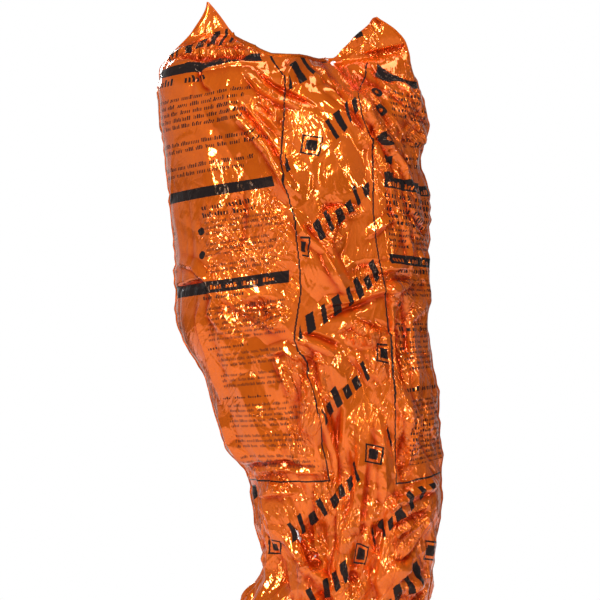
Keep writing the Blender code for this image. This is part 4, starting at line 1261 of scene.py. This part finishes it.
def film_material(settings, crinkles, name, printed=None):
    """Orange film: a rough coloured metal layer under clear glossy plastic, with or without ink on it, and
    painted shade in the valleys of its folds.
    """
    material, shader, w = new_material(name, settings.film_metallic, settings.film_roughness)
    shader["Coat Weight"].default_value = settings.film_coat
    shader["Coat Roughness"].default_value = 0.03
    shader["Coat IOR"].default_value = 1.38
    shader["Specular Tint"].default_value = FILM_TINT
    object_place = w.node("TexCoord").outputs["Object"]
    place = w.node("UVMap", uv_map="print") if printed else object_place
    worked = w.node("Attribute", attribute_name="worked").outputs["Fac"]
    fine = crinkled(w, settings, crinkles, place, 0.06, Worked=worked)
    cloudy = w.node("TexNoise", {"Vector": object_place, "Scale": 6.0}).outputs["Fac"]
    body = w.mix(cloudy, rgba(settings.film_colour), rgba(settings.film_colour, 0.86))
    # Painted shade in the valleys of the folds: a dark red that stands in for shadow and light bounced
    # between folds.
    painted_fold_shade = w.node("Attribute", attribute_name="painted_fold_shade").outputs["Fac"]
    body = w.mix(w.times(painted_fold_shade, 0.9), body, rgba(settings.painted_fold_shade_colour))
    if printed:
        ink = printed(w)
        body = w.mix(ink, body, rgba(settings.ink_colour))
        w.join(w.times(w.minus(1.0, ink), settings.film_metallic), shader["Metallic"])
        # Painted shade: the gloss is weakened in the valleys of the folds.
        gloss = w.scaled(painted_fold_shade, -0.7 * settings.film_coat, settings.film_coat)
        w.join(w.mix(ink, gloss, 0.15 * settings.film_coat, "FLOAT"), shader["Coat Weight"])
        w.join(w.mix(ink, 0.5, 0.15, "FLOAT"), shader["Specular IOR Level"])
    w.join(body, shader["Base Color"])
    w.join(w.scaled(fine["Mask"], 0.06, settings.film_roughness - 0.02), shader["Roughness"])
    facing = bump(w, fine["Height"], settings.crinkle_height, Normal=fine["Normal"])
    w.join(facing, shader["Normal"])
    w.join(facing, shader["Coat Normal"])
    return material


def lining_material(settings, crinkles):
    """Silver inside of the film."""
    material, shader, w = new_material("silver_lining", 0.45, 0.24)
    fine = crinkled(w, settings, crinkles, w.node("TexCoord").outputs["Object"], 0.5)
    shade = w.mix(fine["Mask"], rgba(settings.lining_colour), rgba(settings.lining_colour, 0.85))
    w.join(shade, shader["Base Color"])
    w.join(w.scaled(fine["Mask"], 0.10, 0.20), shader["Roughness"])
    w.join(bump(w, fine["Height"], settings.crinkle_height), shader["Normal"])
    return material


def seal_material(settings, crinkles):
    """Heat-sealed film, pressed into fine ribs and a little duller, with painted shade in the troughs of its
    ribs.
    """
    material, shader, w = new_material("pressed_seal", 0.5, 0.42)
    shader["Specular IOR Level"].default_value = 0.1
    shader["Specular Tint"].default_value = FILM_TINT
    place = w.node("TexCoord").outputs["Object"]
    waves = {"wave_type": "BANDS", "bands_direction": "Z", "wave_profile": "SIN"}
    ribs = w.node("TexWave", {"Vector": place, "Scale": 130.0, "Distortion": 0.6}, **waves).outputs["Fac"]
    fine = crinkled(w, settings, crinkles, place, 0.5, density=1.5)
    # The seal film is darker than the rest of the film; its colour also follows the ribs, lighter on their
    # crests and darker in their troughs, which is painted shade.
    shaded_rib_colour, lit_rib_colour = rgba(settings.film_colour, 0.45), rgba(settings.film_colour, 0.70)
    w.join(w.mix(ribs, shaded_rib_colour, lit_rib_colour), shader["Base Color"])
    w.join(w.scaled(fine["Mask"], 0.12, 0.30), shader["Roughness"])
    w.join(bump(w, w.scaled(ribs, 0.0004, fine["Height"]), settings.crinkle_height), shader["Normal"])
    return material


def floor_material():
    """Pale floor that keeps the bag's shadow near it and turns into the white backdrop further out."""
    material, shader, w = new_material("pale_floor", 0.0, 0.75)
    shader["Base Color"].default_value = (0.88, 0.88, 0.88, 1)
    away = w.vector("LENGTH", w.node("TexCoord").outputs["Object"]).outputs["Value"]
    ray = w.node("LightPath").outputs
    seen = w.any_of(ray["Is Camera Ray"], ray["Is Glossy Ray"], ray["Is Transmission Ray"])
    whiteness = w.times(w.slope(away, 0.9, 2.5), seen)
    plain = material.node_tree.nodes["Principled BSDF"]
    joined = w.node("MixShader", {0: whiteness, 1: plain, 2: w.node("Emission")})
    w.join(joined, material.node_tree.nodes["Material Output"].inputs["Surface"])
    return material


FINISHES = {}
FILMS = {}


def finishes(context):
    """The bag's materials, made once."""
    if not FINISHES:
        settings = context.scene.bivvy_film
        crinkles, text, marks = crinkle_group(), text_group(), marks_group()
        front = film_material(
            settings, crinkles, "printed_front_film", lambda w: front_print(w, text, marks)
        )
        back = film_material(settings, crinkles, "printed_back_film", lambda w: back_print(w, marks))
        FINISHES.update(front=front, back=back, plain=film_material(settings, crinkles, "plain_film"))
        FINISHES.update(lining=lining_material(settings, crinkles), seal=seal_material(settings, crinkles))
    return FINISHES


def film_points(face):
    """The crumpled panel's points and places, worked out once."""
    if face not in FILMS:
        FILMS[face] = build_film(face)
    return FILMS[face]


def colour(name, description, default):
    """A colour setting."""
    limits = {"min": 0, "max": 1}
    return FloatVectorProperty(
        name=name, description=description, subtype="COLOR", size=3, default=default, **limits
    )


def share(name, description, default, least=0):
    """A setting between nothing and all."""
    return FloatProperty(
        name=name, description=description, min=least, max=1, default=default, subtype="FACTOR"
    )


def length(name, description, default, **limits):
    """A setting in metres."""
    units = {"unit": "LENGTH", "subtype": "DISTANCE"}
    return FloatProperty(name=name, description=description, default=default, **units, **limits)


def amount(name, description, default, **limits):
    """A setting that is a plain number."""
    return FloatProperty(name=name, description=description, default=default, **limits)


class BivvyFilmSettings(bpy.types.PropertyGroup):
    """Sizes and colours of the bag's film."""

    film_colour: colour("Film colour", "Outside of the film", (0.77, 0.134, 0.008))
    # Painted shade: the dark red painted into the valleys of the folds.
    painted_fold_shade_colour: colour("Hollow colour", "Film in the hollows of its folds", (0.40, 0.020, 0.001))
    lining_colour: colour("Lining colour", "Inside of the film", (0.80, 0.80, 0.81))
    ink_colour: colour("Ink colour", "Print on the film", (0.014, 0.010, 0.010))
    film_metallic: share("Film metal", "Share of the metal layer under the colour", 0.50)
    film_roughness: share("Film roughness", "How blurred the metal layer is", 0.10, 0.02)
    film_coat: share("Film gloss", "Strength of the clear plastic over the colour", 0.85)
    crinkle_scale: amount(
        "Crinkle density", "Density of the fine creases, against the usual one", 1.0, min=0.2, max=5
    )
    crinkle_tilt: amount("Facet tilt", "How far the fine facets lean", 1.1, min=0, max=2)
    crinkle_height: amount("Crinkle height", "Steepness of the fine creases' sides", 1.2, min=0, max=3)
    lining_gap: length(
        "Lining gap", "Space between the outside and the lining", 0.0032, min=0.0005, max=0.01
    )
    seal_width: length("Seal width", "Width of the heat seals down the sides", 0.0032, min=0.001, max=0.012)
    seal_thickness: length("Seal thickness", "Thickness of the heat seals", 0.0012, min=0.0003, max=0.004)


class BivvyStageSettings(bpy.types.PropertyGroup):
    """The studio around the bag."""

    camera_distance: length("Camera distance", "From the middle of the bag", 6.0)
    view_width: length("View width", "Width of the picture at the middle of the bag", 1.36362)
    view_height: length("View height", "Height of the middle of the picture above the floor", 1.04273)
    key_strength: amount("Key light", "Power of the large light at the left", 152, unit="POWER")
    fill_strength: amount("Fill light", "Power of the light at the right", 34, unit="POWER")
    room_strength: amount("Room light", "Even light from all round", 0.15)
    front_room_strength: amount(
        "Dark side", "Brightness of the studio's right side in the film, against the left", 0.40
    )


class BIVVY_OT_front_film(bpy.types.Operator):
    """Builds the front panel with its folds, its two mouth corners and its print"""

    bl_idname = "bivvy.front_film"
    bl_label = "Front film"

    def execute(self, context):
        pieces, left, right = film_pieces(FRONT, "front_panel", finishes(context)["front"])
        for piece in pieces:
            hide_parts("front_film")
        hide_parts("left_peak_front_film")
        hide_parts("right_peak_front_film")
        return {"FINISHED"}


class BIVVY_OT_back_film(bpy.types.Operator):
    """Builds the back panel with its folds and its two mouth corners"""

    bl_idname = "bivvy.back_film"
    bl_label = "Back film"

    def execute(self, context):
        pieces, left, right = film_pieces(BACK, "back_panel", finishes(context)["back"])
        for piece in pieces:
            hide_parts("back_film")
        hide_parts("left_peak_back_film")
        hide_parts("right_peak_back_film")
        return {"FINISHED"}


# The lining keeps every second or third point of the film, and stops this far below the creases.
LINING_STEP, LINING_STOPS_BELOW = {FRONT: 3, BACK: 2}, 0.016


class BIVVY_OT_lining(bpy.types.Operator):
    """Builds the silver inside of both panels"""

    bl_idname = "bivvy.lining"
    bl_label = "Lining"

    def execute(self, context):
        settings = context.scene.bivvy_film
        for face, name in ((FRONT, "front_lining"), (BACK, "back_lining")):
            points, _, _, normal, sunk = film_points(face)
            last_row, last_column = points.shape[0] - 1, points.shape[1] - 1
            rows = [*range(0, last_row, LINING_STEP[face]), last_row]
            columns = [*range(0, last_column, LINING_STEP[face]), last_column]
            base = len([row for row in rows if row < FILM_GRID[face][2]])
            points, normal, sunk = points[rows][:, columns], normal[rows][:, columns], sunk[rows][:, columns]
            gap = np.minimum(settings.lining_gap + sunk, 0.6 * np.abs(points[..., 1]))
            gap[:base] = 0
            inner = points - normal * gap[..., None]
            inner[:base, :, 2] += settings.lining_gap
            inner[..., 2] = np.maximum(inner[..., 2], LEAST_HEIGHT + settings.lining_gap)
            mesh = grid_mesh(name, inner, None, [finishes(context)["lining"]], flip=True)
            cuts = [(crease - up * LINING_STOPS_BELOW, up, *ends) for crease, up, *ends in CREASES]
            made = trimmed(mesh, name, cuts, lambda p: not any(above(*cut)(p) for cut in cuts))
            bpy.data.meshes.remove(mesh)
            piece = place(name, made)
            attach(piece, "bag")
        return {"FINISHED"}


# The hem: where it ends across, and its lines outside and inside the film, as rows below the edge and
# distances from the film.
HEM_ENDS = (-0.165, 0.085)
HEM_OUTSIDE = ((3, 0.0001), (3, 0.0008), (2, 0.0009), (1, 0.0009), (0, 0.0006))
HEM_INSIDE = ((0, 0.0030), (1, 0.0042), (2, 0.0042), (3, 0.0040), (3, 0.0020))


class BIVVY_OT_hems(bpy.types.Operator):
    """Turns the film over along the mouth, front and back"""

    bl_idname = "bivvy.hems"
    bl_label = "Mouth hems"

    def execute(self, context):
        for face, name, node in (
            (FRONT, "front_hem", "front_mouth_hem"), (BACK, "back_hem", "back_mouth_hem")
        ):
            points = film_points(face)[0]
            normal = outward(points)
            top = points.shape[0] - 1
            x = points[top, :, 0]
            between_ends = (i for i in range(len(x)) if HEM_ENDS[0] < x[i] < HEM_ENDS[1])
            columns = [i for i in between_ends if in_bag(Vector(points[top, i]))]
            sheet, out = points[:, columns], normal[:, columns]
            room = np.minimum(1.0, np.abs(sheet[top, :, 1:2]) / 0.012)
            lines = []
            for down, away in HEM_OUTSIDE:
                lines.append(sheet[top - down] + out[top - down] * away)
            lines.append(sheet[top] + out[top] * -0.0012 * room + [0, 0, 0.0007])
            for down, away in HEM_INSIDE:
                lines.append(sheet[top - down] - out[top - down] * away * room)
            mesh = grid_mesh(name, np.array(lines), None, [finishes(context)["seal"]])
            piece = place(name, mesh)
            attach(piece, "bag")
            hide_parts(node)
        return {"FINISHED"}


def strip_around(line, side, width, thickness):
    """Lines of points along a closed flat strip that runs outside the film."""
    run = np.gradient(line, axis=0)
    square = np.stack([run[:, 2], 0 * run[:, 0], -run[:, 0]], axis=1)
    square /= np.linalg.norm(square, axis=1, keepdims=True)
    square *= side
    half = thickness / 2
    upper = [(-0.0012, 0.9), (0.0010, 1.0), (0.5 * width, 0.75), (0.86 * width, 0.8), (width, 0.45)]
    ring = upper + [(out, -high) for out, high in reversed(upper)] + upper[:1]
    return np.array([line + square * out + np.array([0, half * high, 0]) for out, high in ring])


def closed_mesh(name, points, finish):
    """A strip whose first and last lines meet, made whole and with its faces outwards."""
    mesh = grid_mesh(name, points, None, [finish])
    shape = bmesh.new()
    shape.from_mesh(mesh)
    bmesh.ops.remove_doubles(shape, verts=shape.verts, dist=0.00002)
    bmesh.ops.holes_fill(shape, edges=[e for e in shape.edges if e.is_boundary], sides=0)
    bmesh.ops.recalc_face_normals(shape, faces=shape.faces)
    shape.to_mesh(mesh)
    shape.free()
    mesh.shade_smooth()
    return mesh


# The foot seal's outline across: from front to back, then height.
FOOT_SEAL_RING = [
    (-0.004, 0.0006), (-0.0034, 0.0012), (0.0, 0.0014), (0.0034, 0.0012), (0.004, 0.0006),
    (0.0034, 0.0001), (0.0, 0.0), (-0.0034, 0.0001), (-0.004, 0.0006),
]


class BIVVY_OT_seals(bpy.types.Operator):
    """Presses the heat seals down both sides and across the foot"""

    bl_idname = "bivvy.seals"
    bl_label = "Heat seals"

    def execute(self, context):
        settings = context.scene.bivvy_film
        points = film_points(FRONT)[0]
        for side, column, crease, upward, word in (
            (-1, 0, LEFT_CREASE, LEFT_CREASE_UP, "left"),
            (1, -1, RIGHT_CREASE, RIGHT_CREASE_UP, "right"),
        ):
            line = points[FILM_GRID[FRONT][2] :, column]
            line = line[line[:, 2] > 0.004]
            rings = strip_around(line, side, settings.seal_width, settings.seal_thickness)
            whole = closed_mesh(word + "_seal_strip", rings, finishes(context)["seal"])
            cut = [(crease, upward, -1.0, 1.0)]
            below = trimmed(whole, word + "_side_seal", cut, lambda p: (p - crease).dot(upward) <= 0)
            corner = trimmed(whole, word + "_peak_seal", cut, lambda p: (p - crease).dot(upward) > 0)
            low, high = place(word + "_side_seal", below), place(word + "_peak_seal", corner)
            bpy.data.meshes.remove(whole)
            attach(low, "bag")
            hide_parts(word + "_side_weld")
            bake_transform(high)
            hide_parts(word + "_peak_weld")
        left, right = LEFT_EDGE[0][1] * FOOT_SEAM_SHARE, RIGHT_EDGE[0][1] * FOOT_SEAM_SHARE
        along = np.linspace(left, right, 160)
        wobble = 0.0006 * np.sin(along * 210)
        rings = np.array([np.stack([along, y + wobble, z + 0 * along], axis=1) for y, z in FOOT_SEAL_RING])
        foot = place("foot_seal", closed_mesh("foot_seal", rings, finishes(context)["seal"]))
        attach(foot, "bag")
        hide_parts("foot_weld")
        return {"FINISHED"}


class BIVVY_OT_foot_corners(bpy.types.Operator):
    """Lays the two bottom corners flat on the floor"""

    bl_idname = "bivvy.foot_corners"
    bl_label = "Foot corners"

    def execute(self, context):
        for side, word, seed in ((-1, "left", 61), (1, "right", 67)):
            dice = np.random.default_rng(seed)
            root, length, half = abs(LEFT_EDGE[0][1]) + 0.0002, 0.0585, 0.058
            out = np.linspace(0, 1, 40)
            wide = np.interp(
                out, [0, 0.05, 0.62, 0.97, 1.0], half * np.array([0.985, 0.94, 0.38, 0.045, 0.0])
            )
            across = np.concatenate([np.linspace(-1, 1, 45), np.linspace(1, -1, 45)[1:]])
            top = np.concatenate([np.ones(45), np.zeros(44)])
            bumps = CreasedSheet(seed, 0.2, 0.2)
            bumps.add_facets(0.016, 0.0009)
            bumps.add_creases(60, (0.02, 0.09), (0.003, 0.008), 0.0009)
            u, v = np.meshgrid(out, across)
            up = np.meshgrid(out, top)[1]
            y = v * wide[None, :]
            lump = bumps.read(y, u * length + 0.05)
            edge = np.clip((1 - np.abs(v)) * wide[None, :] / 0.004, 0, 1)
            above_edge = 0.0012 * edge + np.clip(0.0010 + lump, -0.0006, 0.0032) * edge
            z = 0.0010 + up * above_edge - (1 - up) * 0.0007 * edge
            points = np.stack([side * (root + u * length), y, z], axis=-1)
            name = word + "_corner_flap"
            piece = place(name, closed_mesh(name, points, finishes(context)["plain"]))
            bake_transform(piece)
            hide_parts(word + "_foot_corner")
        return {"FINISHED"}


# What the film mirrors in front, from straight below to straight above: place, then shade.
ROOM_SHADES = [(0.25, 0.05), (0.42, 0.10), (0.49, 0.48), (0.64, 0.52), (0.75, 0.12), (0.95, 0.08)]
WARM, COOL, WHITE = (1.0, 0.985, 0.96), (0.97, 0.985, 1.0), (1.0, 1.0, 1.0)
# Lamps: name, place, the height they aim at over the middle of the floor, width and height, colour.
LAMPS = (
    ("key", (-2.0, -3.3, 3.5), 1.1, (1.0, 1.0), WARM),
    ("second", (2.0, -3.4, 3.4), 1.1, (0.45, 0.45), WARM),
    ("strip", (-1.3, -4.2, 1.5), 1.1, (0.20, 2.4), WARM),
    ("fill", (3.0, -2.6, 1.3), 1.1, (0.07, 2.4), COOL),
    ("top", (0.4, -0.6, 4.2), 1.2, (1.4, 1.4), WHITE),
    ("behind", (-1.5, 3.6, 2.6), 1.0, (0.9, 1.2), WHITE),
)
SENSOR = 36.0


class BIVVY_OT_stage(bpy.types.Operator):
    """Sets the floor, the white backdrop, the lights and the camera"""

    bl_idname = "bivvy.stage"
    bl_label = "Stage"

    def execute(self, context):
        scene = context.scene
        settings = scene.bivvy_stage
        shape = bmesh.new()
        bmesh.ops.create_circle(shape, cap_ends=True, radius=2.6, segments=96)
        mesh = bpy.data.meshes.new("floor")
        shape.to_mesh(mesh)
        shape.free()
        floor = place("floor", mesh)
        mesh.materials.append(floor_material())
        world = bpy.data.worlds.new("studio")
        scene.world = world
        world.use_nodes = True
        w = Wires(world.node_tree)
        back = world.node_tree.nodes["Background"].inputs
        ray = w.node("LightPath").outputs
        towards = w.node("SeparateXYZ", {0: w.node("TexCoord").outputs["Generated"]}).outputs
        wall = w.slope(towards["Y"], 0.70, 0.99, 0.0, 0.45)
        front = w.ramp(w.scaled(towards["Z"], 0.5, 0.5), ROOM_SHADES, "EASE")
        dark_side = w.slope(towards["X"], 0.60, 0.10, settings.front_room_strength, 1.0)
        far_left = w.slope(towards["X"], -0.85, -0.35, 0.80, 1.0)
        room = w.math("MAXIMUM", wall, w.times(front, w.times(far_left, dark_side)))
        mirrored = w.math("MAXIMUM", ray["Is Glossy Ray"], ray["Is Transmission Ray"])
        shade = w.mix(mirrored, settings.room_strength, room, "FLOAT")
        w.join(w.mix(ray["Is Camera Ray"], shade, 1.0, "FLOAT"), back["Strength"])
        back["Color"].default_value = (1, 1, 1, 1)
        powers = {"key": settings.key_strength, "fill": settings.fill_strength, "top": 35, "behind": 70}
        powers.update(second=0.20 * settings.key_strength, strip=0.42 * settings.key_strength)
        for name, spot, aim_height, size, tint in LAMPS:
            lamp = bpy.data.lights.new(name, "AREA")
            lamp.shape = "RECTANGLE"
            lamp.size, lamp.size_y = size
            lamp.energy = powers[name]
            lamp.color = tint
            made = bpy.data.objects.new(name, lamp)
            made.location = spot
            aim = Vector((0, 0, aim_height)) - Vector(spot)
            made.rotation_euler = aim.to_track_quat("-Z", "Y").to_euler()
            scene.collection.objects.link(made)
        camera = bpy.data.cameras.new("camera")
        camera.sensor_width = SENSOR
        camera.lens = SENSOR * settings.camera_distance / settings.view_width
        camera.clip_end = 100
        eye = bpy.data.objects.new("camera", camera)
        eye.location = (0, -settings.camera_distance, settings.view_height)
        eye.rotation_euler = (math.pi / 2, 0, 0)
        scene.collection.objects.link(eye)
        scene.camera = eye
        scene.view_settings.view_transform = "Standard"
        return {"FINISHED"}


class BIVVY_PT_panel(bpy.types.Panel):
    """Lists the bag's pieces in the 3D view's sidebar"""

    bl_label = "Emergency bivvy bag"
    bl_idname = "BIVVY_PT_panel"
    bl_space_type = "VIEW_3D"
    bl_region_type = "UI"
    bl_category = "Bivvy bag"

    def draw(self, context):
        layout = self.layout
        for group in (context.scene.bivvy_film, context.scene.bivvy_stage):
            box = layout.box()
            for name in group.__annotations__:
                box.prop(group, name)
        for operator in OPERATORS:
            layout.operator(operator.bl_idname)


OPERATORS = (
    BIVVY_OT_front_film, BIVVY_OT_back_film, BIVVY_OT_lining, BIVVY_OT_hems, BIVVY_OT_seals,
    BIVVY_OT_foot_corners, BIVVY_OT_stage,
)
CLASSES = (BivvyFilmSettings, BivvyStageSettings, *OPERATORS, BIVVY_PT_panel)


def register():
    for made in CLASSES:
        bpy.utils.register_class(made)
    bpy.types.Scene.bivvy_film = PointerProperty(type=BivvyFilmSettings)
    bpy.types.Scene.bivvy_stage = PointerProperty(type=BivvyStageSettings)


def unregister():
    del bpy.types.Scene.bivvy_film
    del bpy.types.Scene.bivvy_stage
    for made in reversed(CLASSES):
        bpy.utils.unregister_class(made)


def main():
    register()
    for operator in OPERATORS:
        getattr(bpy.ops.bivvy, operator.bl_idname.split(".")[1])()


if __name__ == "__main__":
    main()
